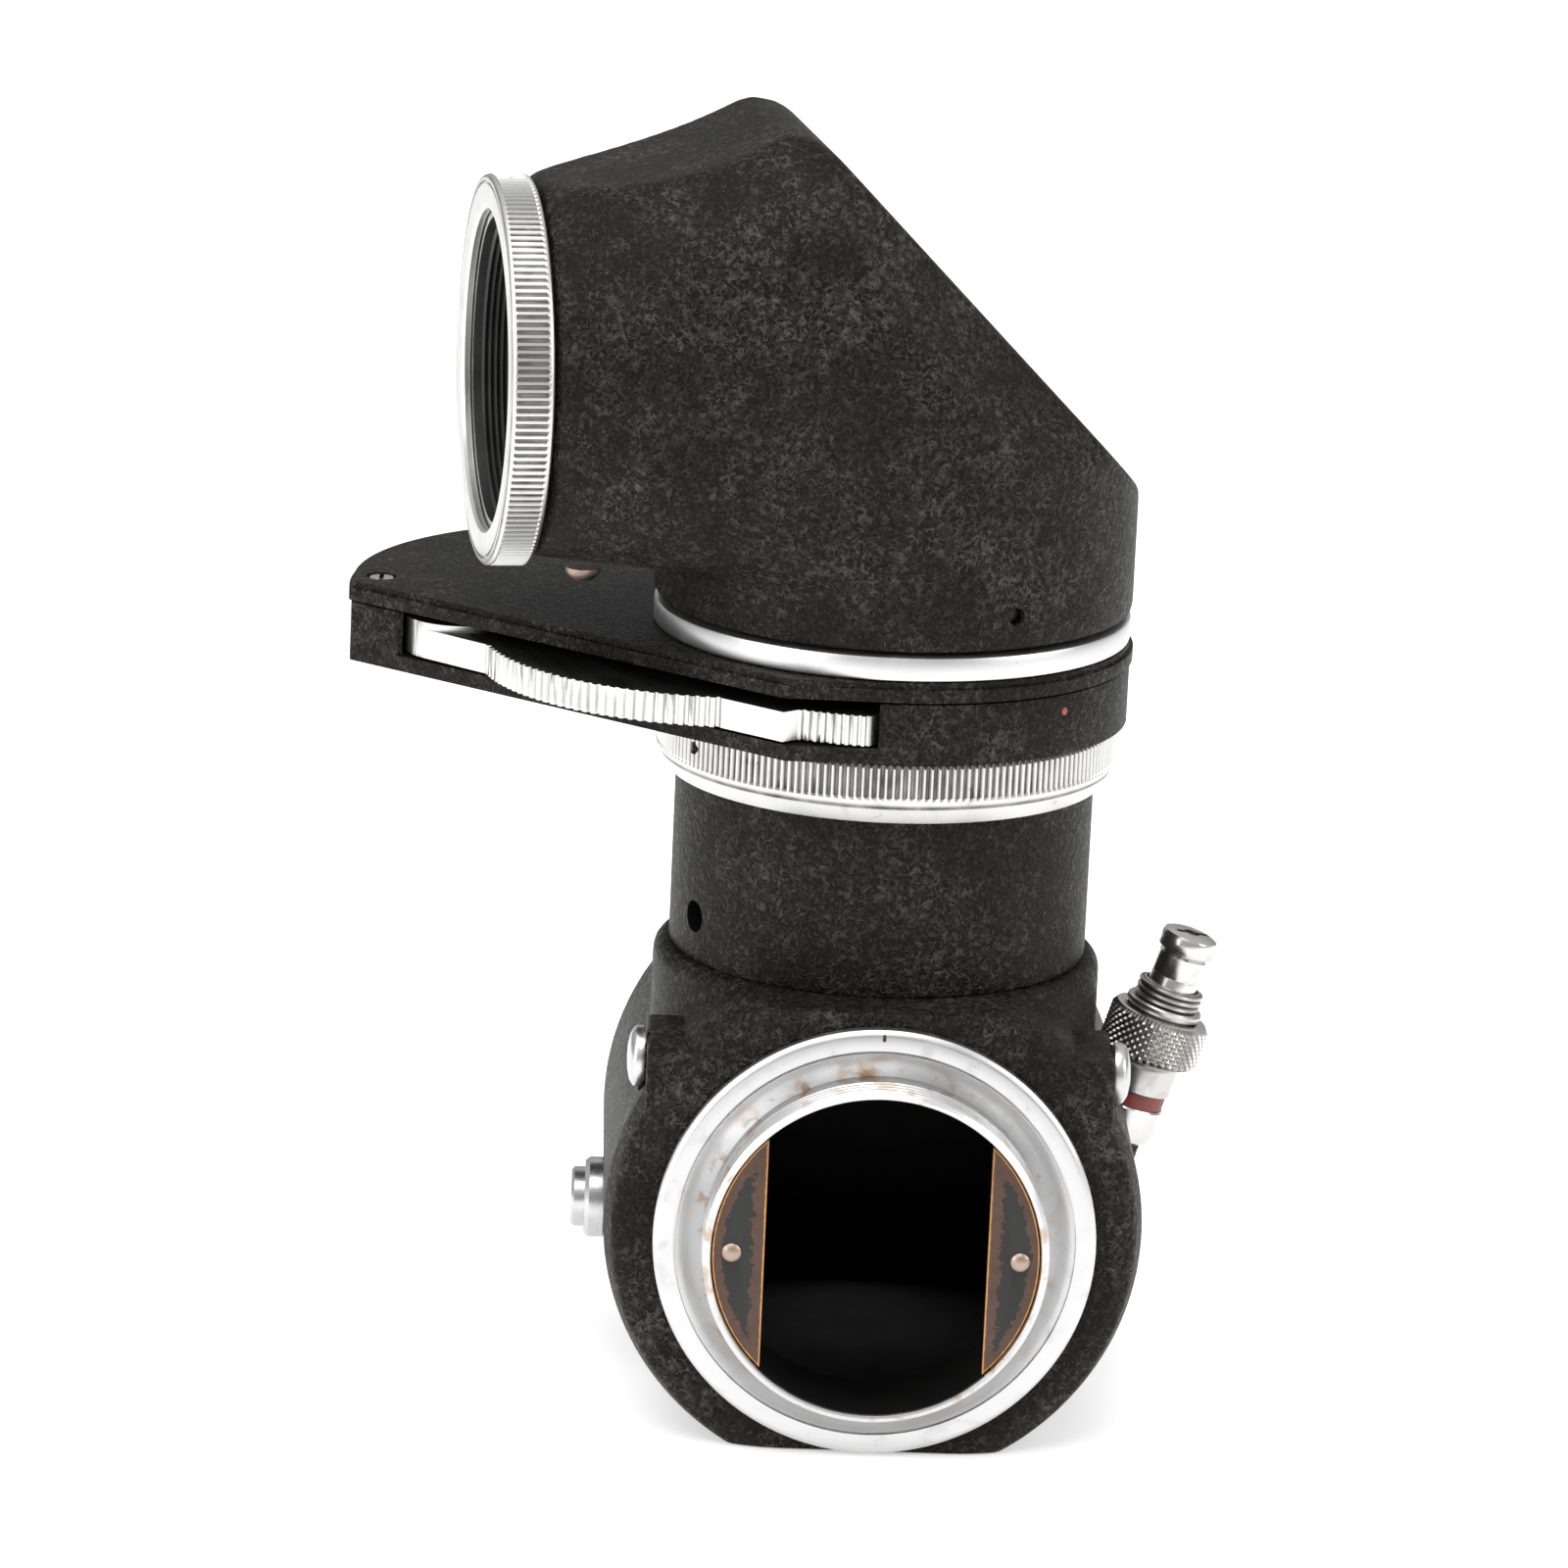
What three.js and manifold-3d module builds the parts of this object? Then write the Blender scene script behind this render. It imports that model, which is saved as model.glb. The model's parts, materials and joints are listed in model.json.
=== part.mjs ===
// Mirror reflex housing for a 39 mm screw-mount camera, with a right-angle magnifier finder on top.
// Millimetres, +Z up along the finder tube, -Y towards the camera body, +Y towards the lens.
// The origin is on the flat base, under the axis of the finder tube.
import * as THREE from "three";
import { ConvexGeometry } from "three/addons/geometries/ConvexGeometry.js";
import { mergeVertices } from "three/addons/utils/BufferGeometryUtils.js";
import Module from "manifold-3d";

const wasm = await Module();
wasm.setup();

// ---------------------------------------------------------------- driving dimensions
const GAP = 0.3;              // clearance between neighbouring pieces
const ROUND = 40;             // sides of a large turned piece
const MEDIUM = 18;            // sides of a button, hub or lens cell
const SMALL = 12;             // sides of a screw, pin or button

const AXIS_HEIGHT = 25.3;     // lens axis above the base
const DRUM_RADIUS = 30.6;     // casting, round the lens axis
const FRONT_FACE = -30.0;     // black face of the casting on the camera side
const REAR_FACE = 26.0;       // casting face under the lens mount
const COLLAR_RADIUS = 25.8;   // casting, round the tube axis
const SEAM_HEIGHT = 51.8;     // top of the casting, where the tube begins
const CEILING = 47.0;         // top of the mirror chamber
const FLOOR = 3.2;            // bottom of the mirror chamber
const CHAMBER_HALF = 18.6;    // half width of the mirror chamber
const CHAMBER_FRONT = -23.6;  // mirror chamber, camera end
const CHAMBER_REAR = 23.0;    // mirror chamber, lens end
const EAR_HALF = 26.4;        // half width over the hinge lugs
const EAR_TOP = 46.4;
const EAR_REAR = -14.5;       // lens-side end of the hinge lugs

const FLANGE_PLANE = -32.0;   // camera flange, seating plane
const FLANGE_RADIUS = 25.0;
const THREAD_RADIUS = 19.5;   // 39 mm screw thread
const THROAT_RADIUS = 18.5;
const COLLAR_TIP = -37.3;     // camera end of the screw collar
const MOUNT_SLEEVE = 21.0;    // sleeve of the camera mount, inside the casting
const GATE_HALF = 12.5;       // half width of the opening between the masks

const LENS_PLANE = 30.5;      // lens flange, seating plane
const LENS_RING_RADIUS = 24.8;
const LENS_SCREW_CIRCLE = 22.2;
const SCREW_HOLE = 1.2;

const HINGE = new THREE.Vector3(0, -21.2, 43.2);   // mirror hinge axis runs along X
const MIRROR_TILT = -Math.PI / 4;                  // viewing position
const MIRROR_LENGTH = 42.0;
const MIRROR_LIP = 4.2;        // folded edge at the free end, below the hinge axis
const MIRROR_HALF = 17.4;
const MIRROR_FACE = 1.48;     // reflecting face above the hinge axis
const SHAFT_RADIUS = 1.5;

const RELEASE_ORIGIN = new THREE.Vector3(30.7, 2.0, 34.1);   // middle of the red ring
const RELEASE_TILT = THREE.MathUtils.degToRad(17);
const SLEEVE_RADIUS = 4.2;

const BUTTON_HEIGHT = 19.6;   // mirror catch button, left side
const BUTTON_SEAT = 29.8;     // distance of its seat from the middle plane

const TUBE_RADIUS = 24.05;
const TUBE_BORE = 21.6;
const TUBE_TOP = 79.5;
const SCREEN_SEAT = 75.7;

const CLAMP_RADIUS = 26.5;
const CLAMP_BOTTOM = 72.5;
const CLAMP_EDGE = 75.2;      // where the coin edge starts
const CLAMP_TOP = 79.5;

const PLATE_BOTTOM = 79.9;
const TRAY_FLOOR = 81.7;
const PLATE_SPLIT = 86.9;     // joint between tray and lid
const PLATE_TOP = 89.3;
const DISC_RADIUS = 27.4;
const LIGHT_RADIUS = 20.5;
const LOBE = { x: -28.0, y: 14.5, r: 34.2 };
const EDGE_START = { x: -62.2, y: 12.3 };    // straight front edge of the plate
const EDGE_END = { x: -12.4, y: -27.4 };

const ARM_PIVOT = { x: -49.6, y: 10.7 };
const ARM_HUB = 6.2;
const ARM_BOTTOM = 82.0;
const ARM_TOP = 85.4;
const ARM_REACH = 60.2;       // tip of the arm from its pivot
const ARM_LENS_RING = 7.6;

const BEARING_TOP = 92.2;
const BEARING_RADIUS = 27.3;

const HEAD_TURN = THREE.MathUtils.degToRad(9);   // eyepiece points to -X, a little to the camera side
const HEAD_BOTTOM = 92.5;
const HEAD_RADIUS = 27.4;
const HEAD_SHOULDER = 107.5;  // where the sloping back starts
const HEAD_PEAK = 151.0;
const EYE_HEIGHT = 118.9;
const NECK_END = 43.1;        // neck end, from the tube axis
const NECK_RADIUS = 21.9;
const NECK_BORE = 19.9;
const EYE_RING_RADIUS = 22.0;
const EYE_RING_END = 48.2;

// ---------------------------------------------------------------- finishes
const finish = (color, roughness, metalness) =>
  new THREE.MeshStandardMaterial({ color, roughness, metalness });
const ENAMEL = finish(0x2b2a29, 0.62, 0.1);
const BLACK = finish(0x121211, 0.7, 0.2);
const CHROME = finish(0xc9cacb, 0.32, 0.95);
const STEEL = finish(0x9b9c9c, 0.38, 0.95);
const BRASS = finish(0x7d5a3c, 0.45, 0.8);
const GLASS = finish(0xcfdcdc, 0.05, 0.0);
const SILVERED = finish(0xdfe3e4, 0.05, 1.0);
const RED = finish(0x7e2a22, 0.5, 0.1);
const FELT = finish(0x1a1a1a, 0.95, 0.0);

// ---------------------------------------------------------------- shape helpers
/** A turned piece about +Z from a profile of [radius, height] points. */
function turned(profile, segments = ROUND) {
  const points = profile.map(([radius, height]) => new THREE.Vector2(radius, height));
  const onAxis = profile[0][0] === 0 && profile.at(-1)[0] === 0;
  if (!onAxis) points.push(points[0].clone());
  return new THREE.LatheGeometry(points, segments).rotateX(Math.PI / 2);
}

const rod = (radius, from, to, segments = SMALL) =>
  turned([[0, from], [radius, from], [radius, to], [0, to]], segments);

const tube = (inner, outer, from, to, segments = ROUND) =>
  turned([[inner, from], [outer, from], [outer, to], [inner, to]], segments);

function block([x0, x1], [y0, y1], [z0, z1]) {
  const box = new THREE.BoxGeometry(x1 - x0, y1 - y0, z1 - z0);
  return box.translate((x0 + x1) / 2, (y0 + y1) / 2, (z0 + z1) / 2);
}

/** A flat piece: an outline in the XY plane, from one height to another. */
function slab(shape, from, to, curveSegments = 16) {
  const options = { depth: to - from, bevelEnabled: false, curveSegments };
  return new THREE.ExtrudeGeometry(shape, options).translate(0, 0, from);
}

const Z = new THREE.Vector3(0, 0, 1);

/** The frame at an origin whose own +Z runs along a direction. */
function frameAlong(origin, direction) {
  const turn = new THREE.Quaternion().setFromUnitVectors(Z, direction.clone().normalize());
  return new THREE.Matrix4().compose(origin, turn, new THREE.Vector3(1, 1, 1));
}

const LENS_AXIS = frameAlong(new THREE.Vector3(0, 0, AXIS_HEIGHT), new THREE.Vector3(0, 1, 0));
const HINGE_AXIS = frameAlong(HINGE, new THREE.Vector3(1, 0, 0));
const releaseDirection = new THREE.Vector3(Math.sin(RELEASE_TILT), 0, Math.cos(RELEASE_TILT));
const RELEASE_AXIS = frameAlong(RELEASE_ORIGIN, releaseDirection);
const buttonOrigin = new THREE.Vector3(0, 0, BUTTON_HEIGHT);
const BUTTON_AXIS = frameAlong(buttonOrigin, new THREE.Vector3(-1, 0, 0));

/** A closed geometry as a solid that can be cut and joined. */
function solid(geometry, frame = new THREE.Matrix4()) {
  const bare = geometry.clone().applyMatrix4(frame);
  bare.deleteAttribute("normal");
  bare.deleteAttribute("uv");
  const merged = mergeVertices(bare, 1e-4);
  const position = merged.getAttribute("position");
  const corner = [0, 1, 2].map(() => new THREE.Vector3());
  const triangles = [];
  let volume = 0;
  for (let i = 0; i < merged.index.count; i += 3) {
    const ids = [0, 1, 2].map((k) => merged.index.getX(i + k));
    if (new Set(ids).size < 3) continue;
    ids.forEach((id, k) => corner[k].fromBufferAttribute(position, id));
    volume += corner[0].dot(corner[1].clone().cross(corner[2]));
    triangles.push(ids);
  }
  const outward = volume > 0 ? triangles : triangles.map(([a, b, c]) => [a, c, b]);
  const vertProperties = Float32Array.from(position.array);
  const triVerts = Uint32Array.from(outward.flat());
  return new wasm.Manifold(new wasm.Mesh({ numProp: 3, vertProperties, triVerts }));
}

const joined = (...solids) => solids.reduce((whole, next) => whole.add(next));
const cut = (whole, ...tools) => tools.reduce((left, tool) => left.subtract(tool), whole);

/** A named piece of the object from a solid. */
function piece(name, body, material) {
  const { vertProperties, triVerts, numProp } = body.getMesh();
  const geometry = new THREE.BufferGeometry();
  const positions = new Float32Array((vertProperties.length / numProp) * 3);
  for (let i = 0; i < positions.length / 3; i += 1) {
    positions.set(vertProperties.subarray(i * numProp, i * numProp + 3), i * 3);
  }
  geometry.setAttribute("position", new THREE.BufferAttribute(positions, 3));
  geometry.setIndex(Array.from(triVerts));
  geometry.computeVertexNormals();
  const mesh = new THREE.Mesh(geometry, material);
  mesh.name = name;
  return mesh;
}

/** A round wire coil along +Z, with flat cut ends. */
function coil(radius, wire, from, to, turns) {
  class Helix extends THREE.Curve {
    getPoint(t, target = new THREE.Vector3()) {
      const angle = t * turns * 2 * Math.PI;
      const height = from + wire + t * (to - from - 2 * wire);
      return target.set(radius * Math.cos(angle), radius * Math.sin(angle), height);
    }
  }
  const section = new THREE.Shape().absarc(0, 0, wire, 0, 2 * Math.PI);
  const options = { steps: turns * 12, extrudePath: new Helix(), curveSegments: 3 };
  return new THREE.ExtrudeGeometry(section, options);
}

const placedGroup = (frame) => {
  const group = new THREE.Group();
  group.applyMatrix4(frame);
  return group;
};

const object = new THREE.Group();

// ---------------------------------------------------------------- mirror box casting
function castingSolid() {
  const drum = solid(turned([
    [0, FRONT_FACE], [27.6, FRONT_FACE], [29.6, FRONT_FACE + 1], [DRUM_RADIUS, FRONT_FACE + 3.5],
    [DRUM_RADIUS, REAR_FACE - 4], [29.2, REAR_FACE], [0, REAR_FACE],
  ]), LENS_AXIS);
  const collar = solid(turned([
    [0, AXIS_HEIGHT], [COLLAR_RADIUS, AXIS_HEIGHT], [COLLAR_RADIUS, SEAM_HEIGHT - 1],
    [COLLAR_RADIUS - 1, SEAM_HEIGHT], [0, SEAM_HEIGHT],
  ]));
  const ears = solid(block([-EAR_HALF, EAR_HALF], [FRONT_FACE + 1, EAR_REAR], [30, EAR_TOP]));
  const releaseBoss = solid(rod(3.1, -12, -5.7), RELEASE_AXIS);
  const belowBase = solid(block([-60, 60], [-60, 60], [-60, 0]));
  const aboveSeam = solid(block([-40, 40], [-60, 60], [SEAM_HEIGHT, 90]));
  const sleeveSeat = solid(rod(SLEEVE_RADIUS + 0.4, -5.7, 8), RELEASE_AXIS);

  const chamberDepth = [CHAMBER_FRONT, CHAMBER_REAR];
  const chamber = solid(block([-CHAMBER_HALF, CHAMBER_HALF], chamberDepth, [FLOOR, CEILING]));
  const tubeSocket = solid(rod(23.2, CEILING, SEAM_HEIGHT + 1, ROUND));
  const tubeThroat = solid(rod(TUBE_BORE, CEILING - 12, SEAM_HEIGHT, ROUND));
  const mountBore = solid(rod(MOUNT_SLEEVE + GAP, FRONT_FACE - 1, CHAMBER_FRONT + 1, ROUND), LENS_AXIS);
  const lockPocket = solid(rod(23.4, -25.7, CHAMBER_FRONT + 0.1, ROUND), LENS_AXIS);
  const lensThroat = solid(rod(19.8, CHAMBER_REAR - 1, REAR_FACE + 1, ROUND), LENS_AXIS);

  const hingeBore = solid(rod(SHAFT_RADIUS + GAP, -EAR_HALF - 1, EAR_HALF + 1), HINGE_AXIS);
  const spotFaces = [-1, 1].map((side) =>
    solid(rod(3.9, EAR_HALF, EAR_HALF + 5), frameAlong(HINGE, new THREE.Vector3(side, 0, 0))));
  const leverPocket = solid(block([-22.4, 22.4], [CHAMBER_FRONT - 0.4, -16.1], [37.5, 45.7]));
  const plungerBore = solid(rod(2.1, -17.2, 0), RELEASE_AXIS);
  const buttonBore = solid(rod(3.85, 26.4, 32), BUTTON_AXIS);
  const buttonSeat = solid(rod(5.2, BUTTON_SEAT, 34), BUTTON_AXIS);
  const stemBore = solid(rod(1.6, CHAMBER_HALF - 1, 27), BUTTON_AXIS);
  const screwDepth = [REAR_FACE - 4.4, REAR_FACE + 1];
  const screwHoles = screwAngles.map((angle) => solid(lensScrewRod(SCREW_HOLE, ...screwDepth, angle)));

  const bores = [
    sleeveSeat, tubeSocket, tubeThroat, mountBore, lockPocket, lensThroat, hingeBore, plungerBore,
    buttonBore, buttonSeat, stemBore, ...spotFaces, ...screwHoles,
  ];
  return cut(joined(drum, collar, ears, releaseBoss), belowBase, aboveSeam, chamber, leverPocket, ...bores);
}

const screwAngles = [45, 135, 225, 315].map(THREE.MathUtils.degToRad);

/** A rod along the lens axis at one of the lens mount's screw places. */
function lensScrewRod(radius, from, to, angle) {
  const shifted = rod(radius, from, to, 16)
    .translate(LENS_SCREW_CIRCLE * Math.cos(angle), LENS_SCREW_CIRCLE * Math.sin(angle), 0);
  return shifted.applyMatrix4(LENS_AXIS);
}

function addCasting() {
  object.add(piece("mirror_box_casting", castingSolid(), ENAMEL));

  const padReach = [17.5, 20.5];
  const padHeights = [HINGE.z + MIRROR_FACE + 0.12, CEILING - 0.15];
  object.add(piece("mirror_stop_pad_left", solid(block([-17.6, -14.9], padReach, padHeights)), FELT));
  object.add(piece("mirror_stop_pad_right", solid(block([14.9, 17.6], padReach, padHeights)), FELT));
}

// ---------------------------------------------------------------- lens mount
function addLensMount() {
  const ringBody = solid(turned([
    [THREAD_RADIUS, REAR_FACE + GAP], [LENS_RING_RADIUS, REAR_FACE + GAP],
    [LENS_RING_RADIUS, LENS_PLANE - 0.8], [LENS_RING_RADIUS - 0.8, LENS_PLANE],
    [THREAD_RADIUS + 0.5, LENS_PLANE], [THREAD_RADIUS, LENS_PLANE - 0.5],
  ]), LENS_AXIS);
  const holeDepth = [REAR_FACE, LENS_PLANE + 1];
  const sinkDepth = [LENS_PLANE - 1.7, LENS_PLANE + 1];
  const holes = screwAngles.map((angle) => solid(lensScrewRod(SCREW_HOLE, ...holeDepth, angle)));
  const sinks = screwAngles.map((angle) => solid(lensScrewRod(1.95, ...sinkDepth, angle)));
  object.add(piece("lens_mount_ring", cut(ringBody, ...holes, ...sinks), CHROME));

  screwAngles.forEach((angle, i) => {
    const shank = solid(lensScrewRod(0.9, REAR_FACE - 4, LENS_PLANE - 1, angle));
    const head = solid(lensScrewRod(1.65, LENS_PLANE - 1.4, LENS_PLANE - 0.2, angle));
    object.add(piece(`lens_mount_screw_${i + 1}`, joined(shank, head), STEEL));
  });
}

// ---------------------------------------------------------------- camera mount
/** The part of a disc about the lens axis that lies outside the picture gate, on one side. */
function crescent(radius, from, to, innerEdge, side) {
  const disc = solid(rod(radius, from, to, ROUND), LENS_AXIS);
  const sideEdges = side < 0 ? [-60, -innerEdge] : [innerEdge, 60];
  return disc.intersect(solid(block(sideEdges, [from - 1, to + 1], [-10, 60])));
}

function addCameraMount() {
  const ring = solid(turned([
    [THROAT_RADIUS, COLLAR_TIP + 0.3], [THROAT_RADIUS + 0.3, COLLAR_TIP], [THREAD_RADIUS - 0.4, COLLAR_TIP],
    [THREAD_RADIUS, COLLAR_TIP + 0.5], [THREAD_RADIUS, FLANGE_PLANE + 1.6], [21.6, FLANGE_PLANE + 0.9],
    [22.6, FLANGE_PLANE], [FLANGE_RADIUS - 0.6, FLANGE_PLANE], [FLANGE_RADIUS, FLANGE_PLANE + 0.6],
    [FLANGE_RADIUS, FRONT_FACE - GAP], [MOUNT_SLEEVE, FRONT_FACE - GAP], [MOUNT_SLEEVE, -26.0],
    [THROAT_RADIUS, -26.0],
  ]), LENS_AXIS);
  const maskFront = COLLAR_TIP + 0.5;
  const maskBack = maskFront + 1.0;
  const rivetRow = 16.2;
  const sides = [["left", -1], ["right", 1]];
  const ledgeDepth = [maskBack + 0.15, maskBack + 2];
  const ledges = sides.map(([, side]) => crescent(THROAT_RADIUS + 0.3, ...ledgeDepth, 13.4, side));
  const towardsLens = new THREE.Vector3(0, 1, 0);
  const rivetAxis = (side) => frameAlong(new THREE.Vector3(side * rivetRow, 0, AXIS_HEIGHT), towardsLens);
  const holes = sides.map(([, side]) => solid(rod(0.95, maskFront - 1, maskBack + 3, 16), rivetAxis(side)));
  object.add(piece("camera_mount_ring", cut(joined(ring, ...ledges), ...holes), CHROME));
  object.add(piece("mount_lock_ring", solid(tube(18.9, 23.0, -25.4, -24.2), LENS_AXIS), BLACK));

  sides.forEach(([word, side], i) => {
    const mask = crescent(THROAT_RADIUS - 0.15, maskFront, maskBack, GATE_HALF, side);
    object.add(piece(`mask_${word}`, cut(mask, holes[i]), BRASS));
    const rivet = solid(turned([
      [0, maskFront - 0.45], [0.7, maskFront - 0.35], [1.1, maskFront - 0.1], [0.65, maskFront - 0.1],
      [0.65, maskBack + 1.8], [0, maskBack + 1.8],
    ], 16), rivetAxis(side));
    object.add(piece(`mask_rivet_${word}`, rivet, BRASS));
  });
}

// ---------------------------------------------------------------- mirror, in its own tilted frame
function addMirror() {
  const tilt = new THREE.Matrix4().makeRotationX(MIRROR_TILT);
  const frame = new THREE.Matrix4().makeTranslation(HINGE).multiply(tilt);
  const mirror = placedGroup(frame);
  const along = frameAlong(new THREE.Vector3(), new THREE.Vector3(1, 0, 0));

  const plate = solid(block([-MIRROR_HALF, MIRROR_HALF], [0, MIRROR_LENGTH], [-1.5, MIRROR_FACE]));
  const lipReach = [MIRROR_LENGTH - 1.2, MIRROR_LENGTH];
  const lip = solid(block([-MIRROR_HALF, MIRROR_HALF], lipReach, [-MIRROR_LIP, 0]));
  const knuckle = solid(rod(2.4, -MIRROR_HALF, MIRROR_HALF), along);
  const glassPocket = solid(block([-16.6, 16.6], [3.0, MIRROR_LENGTH - 0.8], [0.1, 5]));
  const shaftBore = solid(rod(SHAFT_RADIUS + 0.25, -30, 30), along);
  mirror.add(piece("mirror_frame", cut(joined(plate, lip, knuckle), glassPocket, shaftBore), BLACK));
  const glass = solid(block([-16.3, 16.3], [3.3, MIRROR_LENGTH - 1.1], [0.35, MIRROR_FACE - 0.1]));
  mirror.add(piece("mirror_glass", glass, SILVERED));
  mirror.add(piece("mirror_shaft", solid(rod(SHAFT_RADIUS, -23.4, 23.4), along), STEEL));

  const lever = new THREE.Shape();
  lever.absarc(0, 0, 2.2, Math.PI / 2, Math.PI * 1.5);
  lever.lineTo(3.4, -1.4);
  lever.absarc(3.4, 0, 1.4, -Math.PI / 2, Math.PI / 2);
  lever.closePath();
  const alongSide = new THREE.Matrix4().makeBasis(
    new THREE.Vector3(0, 1, 0), new THREE.Vector3(0, 0, 1), new THREE.Vector3(1, 0, 0));
  const crank = cut(solid(slab(lever, 19.2, 21.6, 12), alongSide), shaftBore);
  mirror.add(piece("mirror_crank", crank, STEEL));
  object.add(mirror);

  const towardsLeft = HINGE_AXIS.clone().multiply(new THREE.Matrix4().makeScale(1, 1, -1));
  const spring = solid(coil(2.1, 0.25, 18.9, 22.0, 3), towardsLeft);
  object.add(piece("mirror_return_spring", spring, STEEL));
}

function addBearingScrews() {
  for (const [word, side] of [["left", -1], ["right", 1]]) {
    const axis = frameAlong(HINGE, new THREE.Vector3(side, 0, 0));
    const head = solid(turned([
      [0, 23.8], [SHAFT_RADIUS, 23.8], [SHAFT_RADIUS, EAR_HALF + GAP], [3.5, EAR_HALF + GAP],
      [3.5, EAR_HALF + 1.3], [3.0, EAR_HALF + 1.8], [1.6, EAR_HALF + 2.1], [0, EAR_HALF + 2.2],
    ], SMALL), axis);
    const slot = solid(block([-4, 4], [-0.35, 0.35], [EAR_HALF + 1.5, EAR_HALF + 3]), axis);
    object.add(piece(`mirror_bearing_screw_${word}`, cut(head, slot), CHROME));
  }
}

// ---------------------------------------------------------------- shutter-and-mirror release
function addRelease() {
  const release = placedGroup(RELEASE_AXIS);
  release.add(piece("release_base_sleeve", solid(tube(2.1, SLEEVE_RADIUS, -5.4, -0.9, SMALL)), CHROME));
  release.add(piece("red_index_ring", solid(tube(2.1, SLEEVE_RADIUS - 0.25, -0.7, 0.7, SMALL)), RED));
  const sleeve = turned([
    [2.1, 0.9], [SLEEVE_RADIUS, 0.9], [SLEEVE_RADIUS, 4.6], [3.85, 4.7], [3.85, 10.6], [4.5, 10.6], [4.5, 11.6], [3.5, 11.7],
    [3.9, 12.1], [3.5, 12.5], [3.9, 12.9], [3.5, 13.3], [3.8, 13.8], [3.15, 13.8], [3.15, 6.2], [2.75, 6.2],
    [2.75, 1.3], [2.1, 1.3],
  ], SMALL);
  release.add(piece("release_threaded_sleeve", solid(sleeve), STEEL));
  release.add(piece("release_spring", solid(coil(2.2, 0.25, 1.5, 6.0, 4)), STEEL));
  const knurled = turned([
    [4.2, 4.9], [5.4, 4.9], [5.95, 5.5], [5.95, 9.7], [5.4, 10.3], [4.2, 10.3],
  ], MEDIUM);
  release.add(piece("release_lock_ring", solid(knurled), STEEL));

  const plunger = solid(turned([
    [0, -12.4], [1.6, -12.4], [1.6, 10.2], [2.85, 10.4], [2.85, 17.6], [2.4, 18.0], [3.35, 18.4],
    [3.35, 19.8], [2.8, 20.4], [0, 20.4],
  ], SMALL));
  const screwSlot = solid(block([-4, 4], [-0.4, 0.4], [19.5, 21]));
  const cableSocket = solid(rod(0.9, 18.0, 21, 16));
  release.add(piece("release_plunger", cut(plunger, screwSlot, cableSocket), STEEL));
  object.add(release);
}

// ---------------------------------------------------------------- mirror catch button
function addCatchButton() {
  const button = placedGroup(BUTTON_AXIS);
  button.add(piece("button_collar", solid(turned([
    [3.85, BUTTON_SEAT + GAP], [4.75, BUTTON_SEAT + GAP], [4.75, 32.2], [4.45, 32.6], [3.85, 32.6],
  ], MEDIUM)), CHROME));
  const cap = solid(turned([
    [0, 20.2], [1.25, 20.2], [1.25, 28.2], [3.55, 28.2], [3.55, 33.9], [3.25, 34.2], [0, 34.2],
  ], MEDIUM));
  button.add(piece("mirror_catch_button", cap, CHROME));
  object.add(button);
}

// ---------------------------------------------------------------- finder tube and screen
function addTube() {
  const body = solid(turned([
    [TUBE_BORE, CEILING + GAP], [22.9, CEILING + GAP], [22.9, SEAM_HEIGHT + GAP],
    [TUBE_RADIUS, SEAM_HEIGHT + GAP], [TUBE_RADIUS, TUBE_TOP], [22.9, TUBE_TOP],
    [22.9, SCREEN_SEAT], [TUBE_BORE, SCREEN_SEAT],
  ]));
  const holeDirection = new THREE.Vector3(-21.4, -10.9, 0);
  const sideHole = solid(rod(1.85, 15, 30), frameAlong(new THREE.Vector3(0, 0, 57), holeDirection));
  object.add(piece("screen_tube", cut(body, sideHole), ENAMEL));
  object.add(piece("ground_glass", solid(rod(22.6, SCREEN_SEAT + 0.2, SCREEN_SEAT + 1.7, ROUND)), GLASS));
  const retainer = tube(20.8, 22.6, SCREEN_SEAT + 1.9, TUBE_TOP - 0.3);
  object.add(piece("screen_retaining_ring", solid(retainer), BLACK));
}

function addClampRing() {
  const ring = solid(turned([
    [TUBE_RADIUS + 0.35, CLAMP_BOTTOM], [24.95, CLAMP_BOTTOM], [CLAMP_RADIUS, CLAMP_EDGE],
    [CLAMP_RADIUS, CLAMP_TOP - 0.4], [CLAMP_RADIUS - 0.4, CLAMP_TOP], [TUBE_RADIUS + 0.35, CLAMP_TOP],
  ]));
  const pinDirection = new THREE.Vector3(-22.4, -14.2, 0);
  const pinHole = solid(rod(0.7, 20, 30, 12), frameAlong(new THREE.Vector3(0, 0, 77.6), pinDirection));
  object.add(piece("finder_clamp_ring", cut(ring, pinHole), CHROME));
}

// ---------------------------------------------------------------- plate that houses the swing-in lens
/** Outer tangent points of two circles, on the left side when going from the first to the second. */
function leftTangent(first, second) {
  const dx = second.x - first.x;
  const dy = second.y - first.y;
  const angle = Math.atan2(dy, dx) + Math.acos((first.r - second.r) / Math.hypot(dx, dy));
  return angle;
}

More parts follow.
